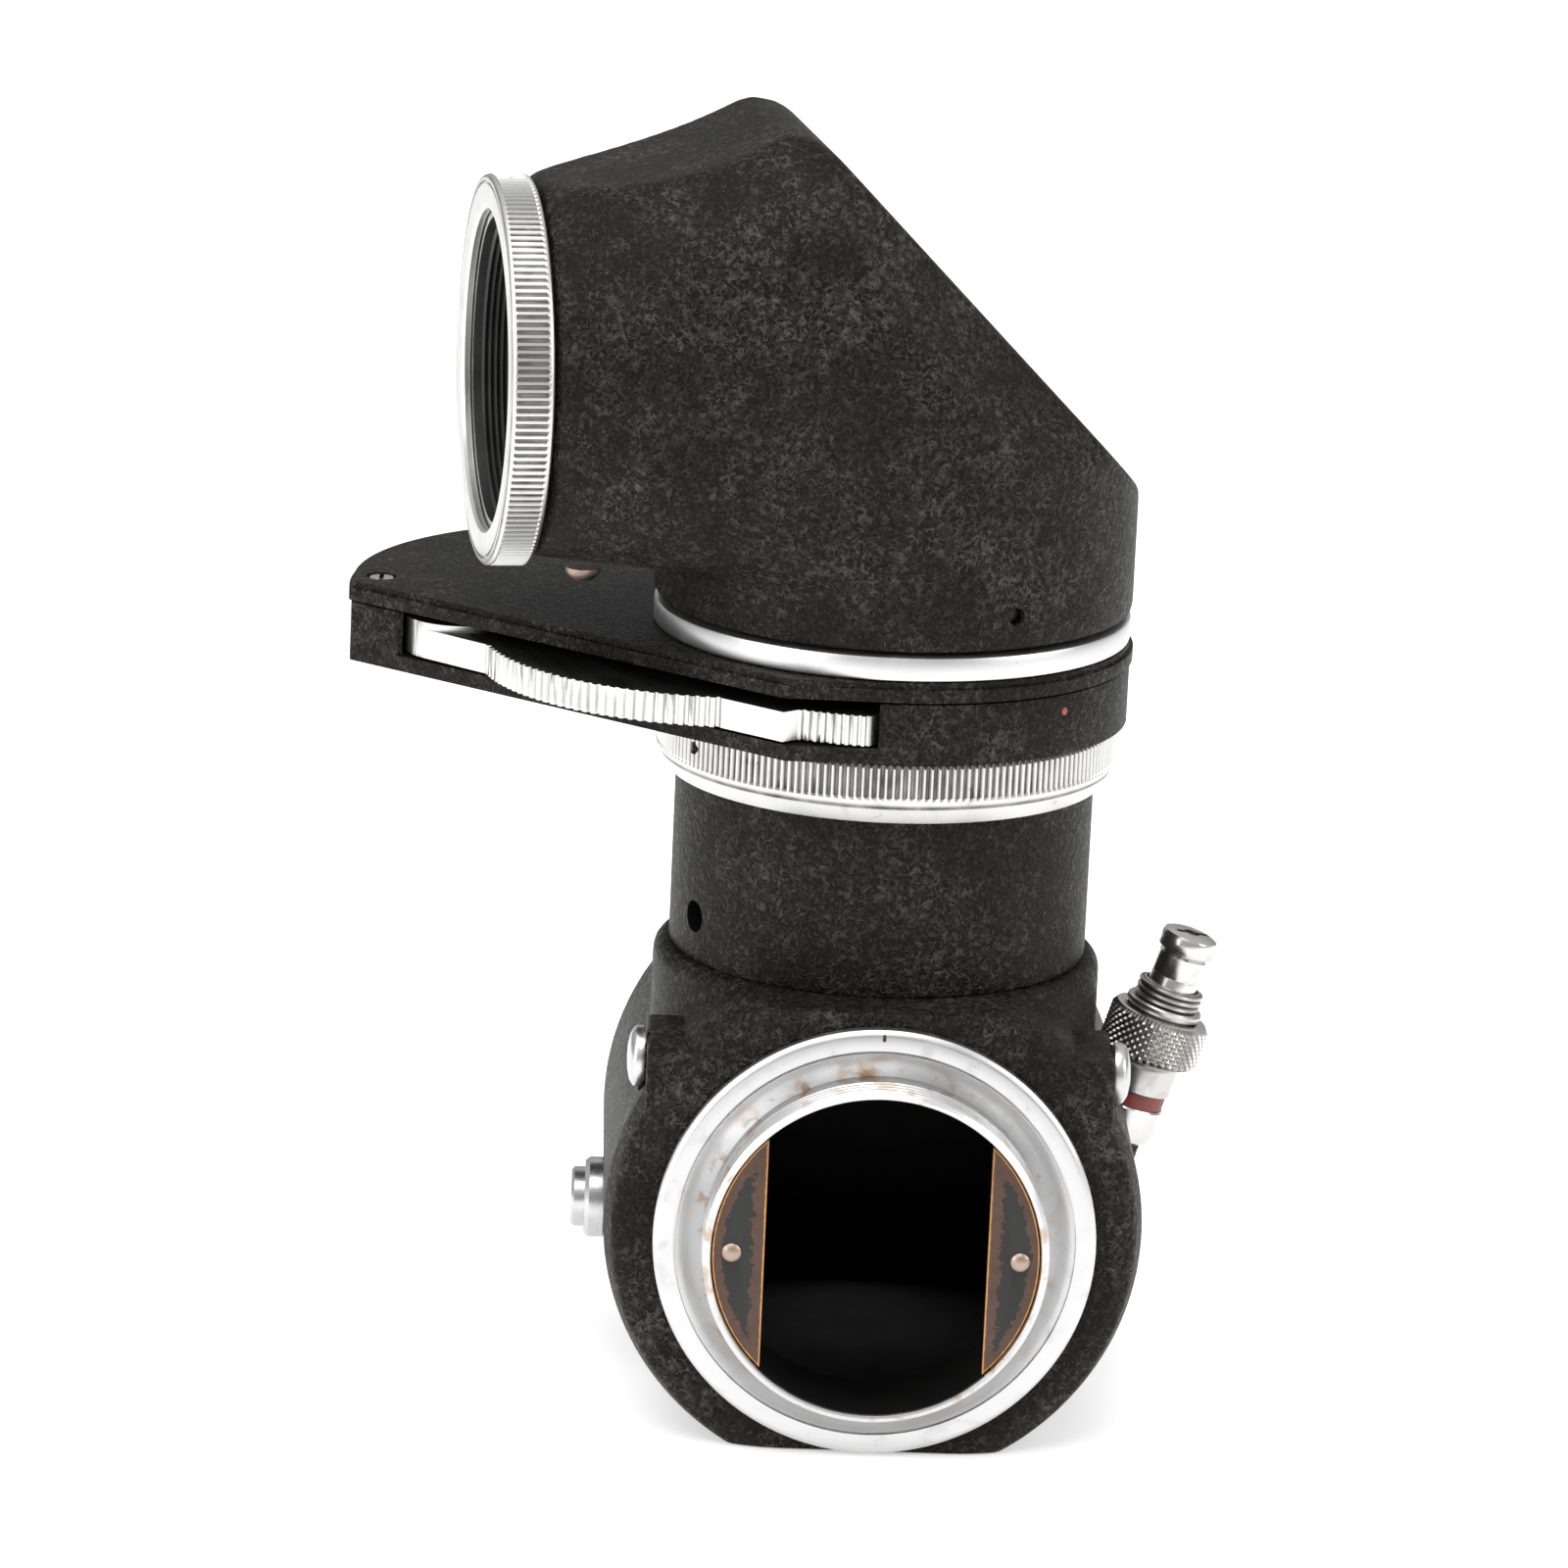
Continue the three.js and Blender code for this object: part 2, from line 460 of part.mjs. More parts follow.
/** Plan of the plate: the disc on the tube, the lobe to the left of it and the straight front edge. */
function plateShape(inset) {
  const disc = { x: 0, y: 0, r: DISC_RADIUS - inset };
  const lobe = { ...LOBE, r: LOBE.r - inset };
  const back = leftTangent(lobe, disc);
  const edge = new THREE.Vector2(EDGE_END.x - EDGE_START.x, EDGE_END.y - EDGE_START.y).normalize();
  const inward = new THREE.Vector2(-edge.y, edge.x).multiplyScalar(inset);
  const start = new THREE.Vector2(EDGE_START.x, EDGE_START.y).add(inward);
  const end = new THREE.Vector2(EDGE_END.x, EDGE_END.y).add(inward);
  const toLobe = Math.atan2(start.y - lobe.y, start.x - lobe.x);
  const front = new THREE.Shape();
  front.moveTo(start.x, start.y);
  front.lineTo(end.x, end.y);
  front.absarc(0, 0, disc.r, THREE.MathUtils.degToRad(-96.5), back, false);
  front.absarc(lobe.x, lobe.y, lobe.r, back, toLobe + 2 * Math.PI, false);
  front.closePath();
  return front;
}

/** Plan of the swing arm: hub, straight front edge with a bulging finger grip, tab and lens eye. */
function armShape() {
  const edge = new THREE.Vector2(EDGE_END.x - EDGE_START.x, EDGE_END.y - EDGE_START.y).normalize();
  const outward = new THREE.Vector2(edge.y, -edge.x);
  const onEdge = (distance, proud = 0) => new THREE.Vector2(EDGE_START.x, EDGE_START.y)
    .addScaledVector(edge, distance).addScaledVector(outward, proud);
  const shape = new THREE.Shape();
  const hubFront = new THREE.Vector2(ARM_PIVOT.x, ARM_PIVOT.y).addScaledVector(outward, ARM_HUB);
  const gripStart = onEdge(20.3);
  const gripEnd = onEdge(54.3);
  const sagitta = 5.8;
  const halfChord = gripStart.distanceTo(gripEnd) / 2;
  const gripRadius = (halfChord ** 2 + sagitta ** 2) / (2 * sagitta);
  const gripCentre = onEdge(37.3, sagitta - gripRadius);
  const angleAt = (point) => Math.atan2(point.y - gripCentre.y, point.x - gripCentre.x);
  const outwardAngle = Math.atan2(outward.y, outward.x);
  shape.moveTo(hubFront.x, hubFront.y);
  shape.lineTo(gripStart.x, gripStart.y);
  shape.absarc(gripCentre.x, gripCentre.y, gripRadius, angleAt(gripStart), angleAt(gripEnd), false);
  const tabStart = onEdge(63.4);
  shape.lineTo(tabStart.x, tabStart.y);
  shape.lineTo(-11.6, -26.4);
  const tabRadius = DISC_RADIUS + 0.6;
  shape.absarc(0, 0, tabRadius, THREE.MathUtils.degToRad(-113.5), THREE.MathUtils.degToRad(-96.6), false);
  const lensAngle = Math.atan2(-ARM_PIVOT.y, -ARM_PIVOT.x);
  const tipAngle = Math.atan2(-tabRadius * Math.cos(THREE.MathUtils.degToRad(6.6)) - ARM_PIVOT.y,
    -tabRadius * Math.sin(THREE.MathUtils.degToRad(6.6)) - ARM_PIVOT.x);
  shape.absarc(ARM_PIVOT.x, ARM_PIVOT.y, ARM_REACH, tipAngle, lensAngle, false);
  shape.absarc(0, 0, 9.5, lensAngle, lensAngle + Math.PI * 0.62, false);
  const hubBack = outwardAngle - Math.PI * 0.78;
  shape.absarc(ARM_PIVOT.x, ARM_PIVOT.y, ARM_HUB, hubBack + 2 * Math.PI, outwardAngle + 2 * Math.PI, false);
  return shape;
}

function addFinderBase() {
  const tray = solid(slab(plateShape(0), PLATE_BOTTOM, PLATE_SPLIT - 0.1));
  const throat = solid(rod(LIGHT_RADIUS, PLATE_BOTTOM - 1, BEARING_TOP + 1, ROUND));
  const sweep = new THREE.Shape();
  sweep.moveTo(ARM_PIVOT.x, ARM_PIVOT.y + ARM_HUB + 0.7);
  sweep.lineTo(ARM_PIVOT.x, ARM_PIVOT.y);
  sweep.absarc(ARM_PIVOT.x, ARM_PIVOT.y, ARM_REACH + 0.7, THREE.MathUtils.degToRad(-41),
    THREE.MathUtils.degToRad(7), false);
  sweep.closePath();
  const frontOpening = new THREE.Shape([
    new THREE.Vector2(-57.9, 7.4), new THREE.Vector2(-57.9, -10), new THREE.Vector2(-16, -40),
    new THREE.Vector2(-2.4, -40), new THREE.Vector2(-2.4, -24), new THREE.Vector2(ARM_PIVOT.x, ARM_PIVOT.y),
  ]);
  const pocketTop = PLATE_SPLIT + 1;
  const pockets = [
    solid(slab(sweep, TRAY_FLOOR, pocketTop, 16)),
    solid(slab(frontOpening, TRAY_FLOOR, pocketTop)),
    solid(rod(ARM_HUB + 0.7, TRAY_FLOOR, pocketTop, MEDIUM).translate(ARM_PIVOT.x, ARM_PIVOT.y, 0)),
  ];
  const pivotHole = solid(rod(1.5, PLATE_BOTTOM - 1, PLATE_TOP + 1).translate(ARM_PIVOT.x, ARM_PIVOT.y, 0));
  const lidScrewPlaces = [[-58.8, 15.2], [-38.0, 44.0], [0.5, 31.5]];
  const screwHoles = lidScrewPlaces.map(([x, y]) =>
    solid(rod(1.2, 83, PLATE_TOP + 1, 16).translate(x, y, 0)));
  const sinkDepth = [PLATE_TOP - 1.1, PLATE_TOP + 1];
  const sinks = lidScrewPlaces.map(([x, y]) => solid(rod(1.8, ...sinkDepth, 20).translate(x, y, 0)));
  const dotDirection = new THREE.Vector3(18.9, -19.7, 0);
  const dotAxis = frameAlong(new THREE.Vector3(0, 0, 84.9), dotDirection);
  const dotHole = solid(rod(0.7, DISC_RADIUS - 1.6, DISC_RADIUS + 2, 16), dotAxis);
  const trayBody = cut(tray, throat, ...pockets, pivotHole, ...screwHoles, dotHole);
  object.add(piece("swing_housing_tray", trayBody, ENAMEL));

  const lid = joined(
    solid(slab(plateShape(-0.3), PLATE_SPLIT + 0.2, PLATE_TOP - 0.7)),
    solid(slab(plateShape(0.2), PLATE_TOP - 0.8, PLATE_TOP)),
  );
  const blindPivot = solid(rod(1.5, PLATE_SPLIT, PLATE_TOP - 1).translate(ARM_PIVOT.x, ARM_PIVOT.y, 0));
  object.add(piece("swing_housing_lid", cut(lid, throat, blindPivot, ...screwHoles, ...sinks), ENAMEL));

  lidScrewPlaces.forEach(([x, y], i) => {
    const screw = solid(turned([
      [0, 83.3], [0.9, 83.3], [0.9, PLATE_TOP - 0.9], [1.5, PLATE_TOP - 0.9], [1.5, PLATE_TOP - 0.1],
      [0, PLATE_TOP - 0.1],
    ], 20).translate(x, y, 0));
    const slot = solid(block([x - 2, x + 2], [y - 0.2, y + 0.2], [PLATE_TOP - 0.5, PLATE_TOP + 1]));
    object.add(piece(`lid_screw_${i + 1}`, cut(screw, slot), STEEL));
  });
  const pivotPin = rod(1.2, PLATE_BOTTOM + 0.2, PLATE_TOP - 1.3).translate(ARM_PIVOT.x, ARM_PIVOT.y, 0);
  object.add(piece("arm_pivot_pin", solid(pivotPin), STEEL));
  object.add(piece("index_dot", solid(rod(0.45, DISC_RADIUS - 1.3, DISC_RADIUS + 0.1, 16), dotAxis), RED));
  object.add(piece("bearing_ring", solid(turned([
    [22.6, PLATE_TOP + 0.1], [BEARING_RADIUS - 0.3, PLATE_TOP + 0.1], [BEARING_RADIUS, PLATE_TOP + 0.4],
    [BEARING_RADIUS, BEARING_TOP - 0.3], [BEARING_RADIUS - 0.3, BEARING_TOP], [22.6, BEARING_TOP],
  ])), CHROME));
}

function addSwingArm() {
  const blade = solid(slab(armShape(), ARM_BOTTOM, ARM_TOP, 14));
  const hub = solid(rod(ARM_HUB, ARM_BOTTOM, ARM_TOP + 0.8, MEDIUM).translate(ARM_PIVOT.x, ARM_PIVOT.y, 0));
  const bore = solid(rod(1.5, 70, 95).translate(ARM_PIVOT.x, ARM_PIVOT.y, 0));
  const eye = solid(rod(ARM_LENS_RING + 0.2, 70, 95, MEDIUM));
  object.add(piece("swing_arm", cut(joined(blade, hub), bore, eye), STEEL));
  const lensRing = tube(6.6, ARM_LENS_RING, ARM_BOTTOM + 0.1, ARM_TOP, MEDIUM);
  object.add(piece("arm_lens_ring", solid(lensRing), BLACK));
  object.add(piece("arm_lens", solid(turned([
    [0, 82.3], [3.4, 82.5], [6.3, 83.2], [6.3, 84.3], [3.4, 84.9], [0, 85.2],
  ], MEDIUM)), GLASS));
}

// ---------------------------------------------------------------- prism head, in its own turned frame
// In this frame +X runs from the tube axis to the eyepiece, and Z stays up.
function addPrismHead() {
  const headFrame = new THREE.Matrix4().makeRotationZ(Math.PI + HEAD_TURN);
  const head = placedGroup(headFrame);
  const across = new THREE.Matrix4().makeBasis(
    new THREE.Vector3(1, 0, 0), new THREE.Vector3(0, 0, 1), new THREE.Vector3(0, -1, 0));
  const sideways = (shape, half) => solid(slab(shape, -half, half, 12), across);
  const eyeAxis = frameAlong(new THREE.Vector3(0, 0, EYE_HEIGHT), new THREE.Vector3(1, 0, 0));

  const neckPoints = [];
  for (let i = 0; i < ROUND; i += 1) {
    const angle = (i / ROUND) * 2 * Math.PI;
    const [c, s] = [Math.cos(angle), Math.sin(angle)];
    neckPoints.push(new THREE.Vector3(NECK_END, NECK_RADIUS * c, EYE_HEIGHT + NECK_RADIUS * s));
    neckPoints.push(new THREE.Vector3(NECK_END - 3, NECK_RADIUS * c, EYE_HEIGHT + NECK_RADIUS * s));
    neckPoints.push(new THREE.Vector3(16, 25.0 * c, 124.0 + 27.4 * s));
    neckPoints.push(new THREE.Vector3(4, 26.6 * c, 123.0 + 28.0 * s));
  }
  const neck = solid(new ConvexGeometry(neckPoints));
  const column = cut(
    solid(rod(HEAD_RADIUS, HEAD_BOTTOM, HEAD_PEAK + 2, ROUND)),
    solid(block([5, 40], [-40, 40], [HEAD_SHOULDER, HEAD_PEAK + 5])),
  );
  const side = new THREE.Shape();
  side.moveTo(-HEAD_RADIUS - 1, HEAD_BOTTOM);
  side.lineTo(-HEAD_RADIUS - 1, HEAD_SHOULDER - 1);
  side.lineTo(11.6, 147.4);
  side.quadraticCurveTo(15.2, HEAD_PEAK, 20.0, HEAD_PEAK - 0.8);
  side.quadraticCurveTo(31.0, 143.6, NECK_END + 1, EYE_HEIGHT + NECK_RADIUS - 0.1);
  side.lineTo(NECK_END + 1, HEAD_BOTTOM);
  side.closePath();
  const outer = joined(column, neck).intersect(sideways(side, 40));

  const hollow = new THREE.Shape([[-23.6, 95.0], [-23.6, 106.6], [12.4, 142.6], [20.5, 142.6], [22.5, 95.0]]
    .map(([u, z]) => new THREE.Vector2(u, z)));
  const cavity = sideways(hollow, 19.6).intersect(solid(rod(25.2, 90, 160, ROUND)));
  const mouth = solid(rod(22.5, HEAD_BOTTOM - 1, 97, ROUND));
  const neckBore = solid(rod(NECK_BORE, 14, NECK_END + 2, ROUND), eyeAxis);
  const pinAxis = frameAlong(new THREE.Vector3(0, 0, 96.6), new THREE.Vector3(-8.8, 25.7, 0));
  const pinHole = solid(rod(1.0, 21, 32, 16), pinAxis);
  const shell = cut(outer, cavity, mouth, neckBore, pinHole);
  head.add(piece("prism_housing", shell, ENAMEL));
  const pin = solid(rod(0.75, 23.4, 26.2, 16), pinAxis);
  head.add(piece("head_set_screw", pin, STEEL));

  const cradle = cut(solid(rod(22.2, 93.0, 94.7, ROUND)), solid(rod(19.6, 90, 99, ROUND)));
  head.add(piece("prism_cradle", cradle, BLACK));
  const prismSection = new THREE.Shape([
    [-16.6, 98.0], [-16.6, 108.4], [10.8, 135.8], [12.0, 135.8], [12.0, 98.0],
  ].map(([u, z]) => new THREE.Vector2(u, z)));
  head.add(piece("roof_prism", sideways(prismSection, 16.5), GLASS));
  const clampSection = new THREE.Shape([[-9.4, 117.0], [5.0, 131.4], [4.3, 132.1], [-10.1, 117.7]]
    .map(([u, z]) => new THREE.Vector2(u, z)));
  head.add(piece("prism_clamp", sideways(clampSection, 5), BLACK));
  const neckScrew = solid(turned([[0, 0], [2.1, 0], [1.9, -0.9], [1.1, -1.5], [0, -1.6]], SMALL)
    .translate(36.0, 0, 96.2));
  head.add(piece("neck_screw", neckScrew, STEEL));

  const barrel = solid(turned([
    [18.0, 24.0], [19.5, 24.0], [19.5, 46.6], [18.2, 46.6], [18.2, 36.6], [17.0, 36.6],
    [17.0, 36.0], [18.0, 36.0],
  ]), eyeAxis);
  head.add(piece("eyepiece_barrel", barrel, BLACK));
  head.add(piece("eye_lens", solid(turned([
    [0, 29.0], [9.0, 29.7], [17.7, 31.8], [17.7, 34.0], [9.0, 35.2], [0, 35.6],
  ]), eyeAxis), GLASS));
  head.add(piece("eyepiece_focus_ring", solid(turned([
    [NECK_BORE + 0.1, NECK_END + GAP], [EYE_RING_RADIUS, NECK_END + GAP],
    [EYE_RING_RADIUS, EYE_RING_END - 0.5],
    [EYE_RING_RADIUS - 0.5, EYE_RING_END], [18.4, EYE_RING_END], [18.1, EYE_RING_END - 0.5],
    [18.1, EYE_RING_END - 1.1], [NECK_BORE + 0.1, EYE_RING_END - 1.1],
  ]), eyeAxis), CHROME));
  object.add(head);
}

addCasting();
addBearingScrews();
addLensMount();
addCameraMount();
addMirror();
addRelease();
addCatchButton();
addTube();
addClampRing();
addFinderBase();
addSwingArm();
addPrismHead();

export default object;
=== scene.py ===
"""Mirror reflex housing with a right-angle prism magnifier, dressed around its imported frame.

Pieces are shaped on the bench in millimetres, in the frame's own axes, and handed over in metres.
"""
import json
import logging
import math
from contextlib import contextmanager
from dataclasses import dataclass, field
from enum import Enum
from typing import Callable, Iterator, Sequence

import bmesh
import bpy
from mathutils import Matrix, Vector


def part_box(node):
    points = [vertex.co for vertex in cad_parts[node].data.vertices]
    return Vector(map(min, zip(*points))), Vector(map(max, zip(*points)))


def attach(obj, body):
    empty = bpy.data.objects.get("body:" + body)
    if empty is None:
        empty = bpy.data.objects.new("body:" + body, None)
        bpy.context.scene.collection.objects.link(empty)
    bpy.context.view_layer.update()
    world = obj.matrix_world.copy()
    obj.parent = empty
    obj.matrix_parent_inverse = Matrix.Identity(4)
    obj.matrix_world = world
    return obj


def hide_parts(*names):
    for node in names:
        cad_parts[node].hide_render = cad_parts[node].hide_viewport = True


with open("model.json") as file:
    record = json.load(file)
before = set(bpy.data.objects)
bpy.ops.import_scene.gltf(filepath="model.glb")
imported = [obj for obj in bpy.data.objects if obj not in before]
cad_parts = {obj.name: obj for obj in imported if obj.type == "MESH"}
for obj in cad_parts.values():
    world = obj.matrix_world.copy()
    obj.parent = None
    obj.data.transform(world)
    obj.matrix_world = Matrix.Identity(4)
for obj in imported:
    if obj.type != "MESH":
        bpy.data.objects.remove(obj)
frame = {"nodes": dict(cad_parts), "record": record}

LOG = logging.getLogger("reflex_housing")
MM = 0.001
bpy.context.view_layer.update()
X_AXIS, Y_AXIS, Z_AXIS = Vector((1, 0, 0)), Vector((0, 1, 0)), Vector((0, 0, 1))
Profile = Sequence[tuple[float, float]]


# ------------------------------------------------------------------ places taken from the frame
def box_mm(node: str) -> tuple[Vector, Vector]:
    """The lowest and highest corners of a CAD node, in millimetres.

    Args:
        node: the CAD node's name.

    Returns:
        Its two corners.
    """
    low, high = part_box(node)
    return Vector(low) / MM, Vector(high) / MM


def joint_line(name: str) -> tuple[Vector, Vector]:
    """A point on a hinge's axis in millimetres, and the axis.

    Args:
        name: the joint's name in the record.

    Returns:
        The point and the unit direction.
    """
    joint = next(j for j in frame["record"]["behaviour"]["joints"] if j["name"] == name)
    return Vector(joint["pos_m"]) / MM, Vector(joint["axis"]).normalized()


def along(origin: Vector, direction: Vector) -> Matrix:
    """The place whose own +Z runs along a direction from an origin.

    Args:
        origin: the place's origin, in millimetres.
        direction: where its +Z points.

    Returns:
        The placing matrix.
    """
    turn = Z_AXIS.rotation_difference(direction.normalized())
    return Matrix.Translation(origin) @ turn.to_matrix().to_4x4()


# ------------------------------------------------------------------ shader writing
class Wire:
    """A shader socket that takes part in sums and products."""

    def __init__(self, sheet: "Sheet", socket: bpy.types.NodeSocket) -> None:
        """Wraps a socket of a sheet's node tree."""
        self.sheet = sheet
        self.socket = socket

    def _math(self, operation: str, first: object, second: object = 0.0) -> "Wire":
        """Adds a Math node for an operation on two values."""
        node = self.sheet.node("ShaderNodeMath", {"operation": operation}, {0: first, 1: second})
        return Wire(self.sheet, node.outputs[0])

    def __add__(self, other: object) -> "Wire":
        """Sum."""
        return self._math("ADD", self, other)

    __radd__ = __add__

    def __sub__(self, other: object) -> "Wire":
        """Difference."""
        return self._math("SUBTRACT", self, other)

    def __rsub__(self, other: object) -> "Wire":
        """Difference from a number."""
        return self._math("SUBTRACT", other, self)

    def __mul__(self, other: object) -> "Wire":
        """Product."""
        return self._math("MULTIPLY", self, other)

    __rmul__ = __mul__

    def __pow__(self, other: object) -> "Wire":
        """Power."""
        return self._math("POWER", self, other)

    def __abs__(self) -> "Wire":
        """Distance from zero."""
        return self._math("ABSOLUTE", self)

    def least(self, other: object) -> "Wire":
        """The smaller of two values."""
        return self._math("MINIMUM", self, other)

    def most(self, other: object) -> "Wire":
        """The larger of two values."""
        return self._math("MAXIMUM", self, other)

    def ramp(self, start: float, end: float) -> "Wire":
        """Rises smoothly from 0 at start to 1 at end.

        Args:
            start: the value that gives 0.
            end: the value that gives 1.

        Returns:
            The mask.
        """
        settings = {"interpolation_type": "SMOOTHSTEP", "clamp": True}
        node = self.sheet.node("ShaderNodeMapRange", settings, {0: self, 1: start, 2: end, 3: 0.0, 4: 1.0})
        return Wire(self.sheet, node.outputs[0])


Colour = tuple[float, float, float]


class Sheet:
    """The node tree of one material or world, with its shader."""

    def __init__(self, name: str, world: bool = False) -> None:
        """Starts a material with a Principled shader, or a world with a Background."""
        self.material = bpy.data.worlds.new(name) if world else bpy.data.materials.new(name)
        self.material.use_nodes = True
        self.tree = self.material.node_tree
        self.shader = self.tree.nodes["Background" if world else "Principled BSDF"]

    def node(self, kind: str, settings: dict, inputs: dict) -> bpy.types.Node:
        """Adds a node.

        Args:
            kind: the node's type.
            settings: its own properties, set first.
            inputs: values or wires by socket name or number.

        Returns:
            The node.
        """
        made = self.tree.nodes.new(kind)
        for key, value in settings.items():
            setattr(made, key, value)
        for key, value in inputs.items():
            self.feed(made.inputs[key], value)
        return made

    def feed(self, socket: bpy.types.NodeSocket, value: object) -> None:
        """Links a wire to a socket, or sets the socket's value."""
        if isinstance(value, Wire):
            self.tree.links.new(value.socket, socket)
        elif isinstance(value, tuple) and len(value) == 3 and socket.type == "RGBA":
            socket.default_value = (*value, 1.0)
        else:
            socket.default_value = value

    def place(self, centre: Vector = Vector(), turn: Sequence[float] = (0, 0, 0)) -> Wire:
        """Object coordinates in millimetres, centred and turned on a piece.

        Args:
            centre: the point that becomes the origin, in millimetres.
            turn: the turn in radians that is undone about X, Y and Z.

        Returns:
            The coordinates.
        """
        coordinates = self.node("ShaderNodeTexCoord", {}, {})
        inputs = {"Vector": Wire(self, coordinates.outputs["Object"]), "Location": tuple(centre * MM),
                  "Rotation": tuple(turn), "Scale": (MM, MM, MM)}
        mapping = self.node("ShaderNodeMapping", {"vector_type": "TEXTURE"}, inputs)
        return Wire(self, mapping.outputs[0])

    def split(self, vector: Wire) -> tuple[Wire, Wire, Wire]:
        """The three parts of a vector."""
        node = self.node("ShaderNodeSeparateXYZ", {}, {0: vector})
        x, y, z = (Wire(self, socket) for socket in node.outputs)
        return x, y, z

    def noise(self, vector: Wire, size: float, detail: float = 2.0, distortion: float = 0.0) -> Wire:
        """Noise about 0.5 with features of a size in millimetres."""
        inputs = {"Vector": vector, "Scale": 1.0 / size, "Detail": detail, "Distortion": distortion}
        return Wire(self, self.node("ShaderNodeTexNoise", {"noise_dimensions": "3D"}, inputs).outputs[0])

    def mix(self, mask: Wire, low: object, high: object) -> Wire:
        """A colour between two, by a mask."""
        node = self.node("ShaderNodeMix", {"data_type": "RGBA"}, {0: mask, 6: low, 7: high})
        return Wire(self, node.outputs[2])

    def bump(self, height: Wire, depth: float, strength: float = 1.0) -> None:
        """Raises the surface by a height of 0 to 1 over a depth in millimetres."""
        node = self.node("ShaderNodeBump", {}, {"Height": height, "Distance": depth * MM, "Strength": strength})
        self.feed(self.shader.inputs["Normal"], Wire(self, node.outputs[0]))

    def set(self, **values: object) -> None:
        """Sets or feeds the Principled shader's sockets, with _ for a blank in a socket's name."""
        for key, value in values.items():
            self.feed(self.shader.inputs[key.replace("_", " ")], value)


# ------------------------------------------------------------------ finishes
@dataclass(frozen=True)
class WrinkleEnamel:
    """Black shrivel enamel whose crests are coloured lighter: partly worn grey where hands rub it, mostly painted
    sheen standing in for their glints.
    """

    name: str = "wrinkle_enamel"
    hollow: Colour = (0.0052, 0.0047, 0.0038)
    # The crests' colour: partly their worn tone, mostly a painted sheen.
    crest_tone_and_sheen: Colour = (0.066, 0.062, 0.057)
    grain: float = 1.15

    def make(self) -> bpy.types.Material:
        """Builds the material."""
        sheet = Sheet(self.name)
        spot = sheet.place()
        broad = sheet.noise(spot, 9.0, 3.0)
        worm = 1.0 - abs(sheet.noise(spot, self.grain, 1.5, 1.1) - 0.5) * 11.0
        worm = worm.most(1.0 - abs(sheet.noise(spot, self.grain * 0.6, 1.0, 0.6) - 0.47) * 13.0).most(0.0)
        patchy = sheet.noise(spot, self.grain * 0.8, 2.0).ramp(0.38, 0.62)
        relief = worm * (patchy * 0.8 + 0.2)
        # Random broad patches where the crests' painted sheen and wear come out stronger.
        rubbed = broad.ramp(0.34, 0.66)
        speck = sheet.noise(spot, 0.5, 0.0).ramp(0.77, 0.82)
        # Hollows keep the dark enamel; crests move towards the lighter colour, a painted sheen on top of their worn
        # tone.
        tone = sheet.mix((relief * (rubbed * 0.8 + 0.35)).least(1.0), self.hollow, self.crest_tone_and_sheen)
        sheet.set(Base_Color=sheet.mix(speck * 0.22, tone, (0.16, 0.13, 0.11)),
                  Roughness=0.43 - relief * 0.16 + broad * 0.10, Specular_IOR_Level=0.1)
        sheet.bump(relief, 0.22, 1.0)
        return sheet.material


@dataclass(frozen=True)
class BrightMetal:
    """Turned, satin-plated metal: faint rings, scuffs, grime with painted shade in the groove bottoms, and brass where
    the plating has gone.
    """

    name: str
    base: Colour = (0.60, 0.60, 0.60)
    roughness: float = 0.27
    centre: tuple[float, float, float] = (0, 0, 0)
    turn: tuple[float, float, float] = (0, 0, 0)
    groove_radius: float = 0.0
    groove_depth: float = 0.3
    brass: float = 0.0
    brass_reach: float = 1000.0
    scuff: float = 0.5

    def make(self) -> bpy.types.Material:
        """Builds the material."""
        sheet = Sheet(self.name)
        spot = sheet.place(Vector(self.centre), self.turn)
        x, y, z = sheet.split(spot)
        reach = (x * x + y * y) ** 0.5
        blotch = sheet.noise(spot, 3.2, 4.0, 0.4)
        grit = sheet.noise(spot, 0.35, 2.0)
        rounds = sheet.node("ShaderNodeCombineXYZ", {}, {0: reach * 9.0, 1: z * 9.0})
        rings = sheet.noise(Wire(sheet, rounds.outputs[0]), 1.0, 1.0)
        scuffed = blotch.ramp(0.56, 0.72) * self.scuff
        tone = sheet.mix(scuffed * 0.35, self.base, tuple(c * 0.6 for c in self.base))
        pits = grit.ramp(0.70, 0.76) * blotch.ramp(0.50, 0.62)
        tone = sheet.mix(pits * 0.8, tone, (0.05, 0.042, 0.034))
        if self.brass > 0.0:
            worn = sheet.noise(spot, 2.6, 4.0, 0.6).ramp(0.70 - 0.20 * self.brass, 0.80 - 0.16 * self.brass)
            worn = worn * (1.0 - reach.ramp(self.brass_reach, self.brass_reach + 0.7))
            tone = sheet.mix(worn * 0.6, tone, (0.40, 0.25, 0.13))
        rough = blotch * 0.14 + rings * 0.10 + (self.roughness - 0.12) + scuffed * 0.12
        if self.groove_radius > 0.0:
            # The groove bottoms are coloured darker: partly grime, partly painted shade where the grooves fall into
            # shadow.
            bottom = self.groove_radius - self.groove_depth
            groove_grime_and_shade = reach.ramp(bottom - 0.16, bottom - 0.04)
            groove_grime_and_shade = groove_grime_and_shade * (1.0 - reach.ramp(bottom, self.groove_radius - 0.06))
            groove_grime_and_shade = groove_grime_and_shade * (blotch * 0.9 + 0.30).least(1.0)
            tone = sheet.mix(groove_grime_and_shade, tone, (0.085, 0.066, 0.052))
            rough = rough + groove_grime_and_shade * 0.3
        sheet.set(Base_Color=tone, Metallic=1.0 - pits * 0.7, Roughness=rough)
        sheet.bump(rings * 0.6 + grit * 0.4, 0.012, 0.5)
        return sheet.material


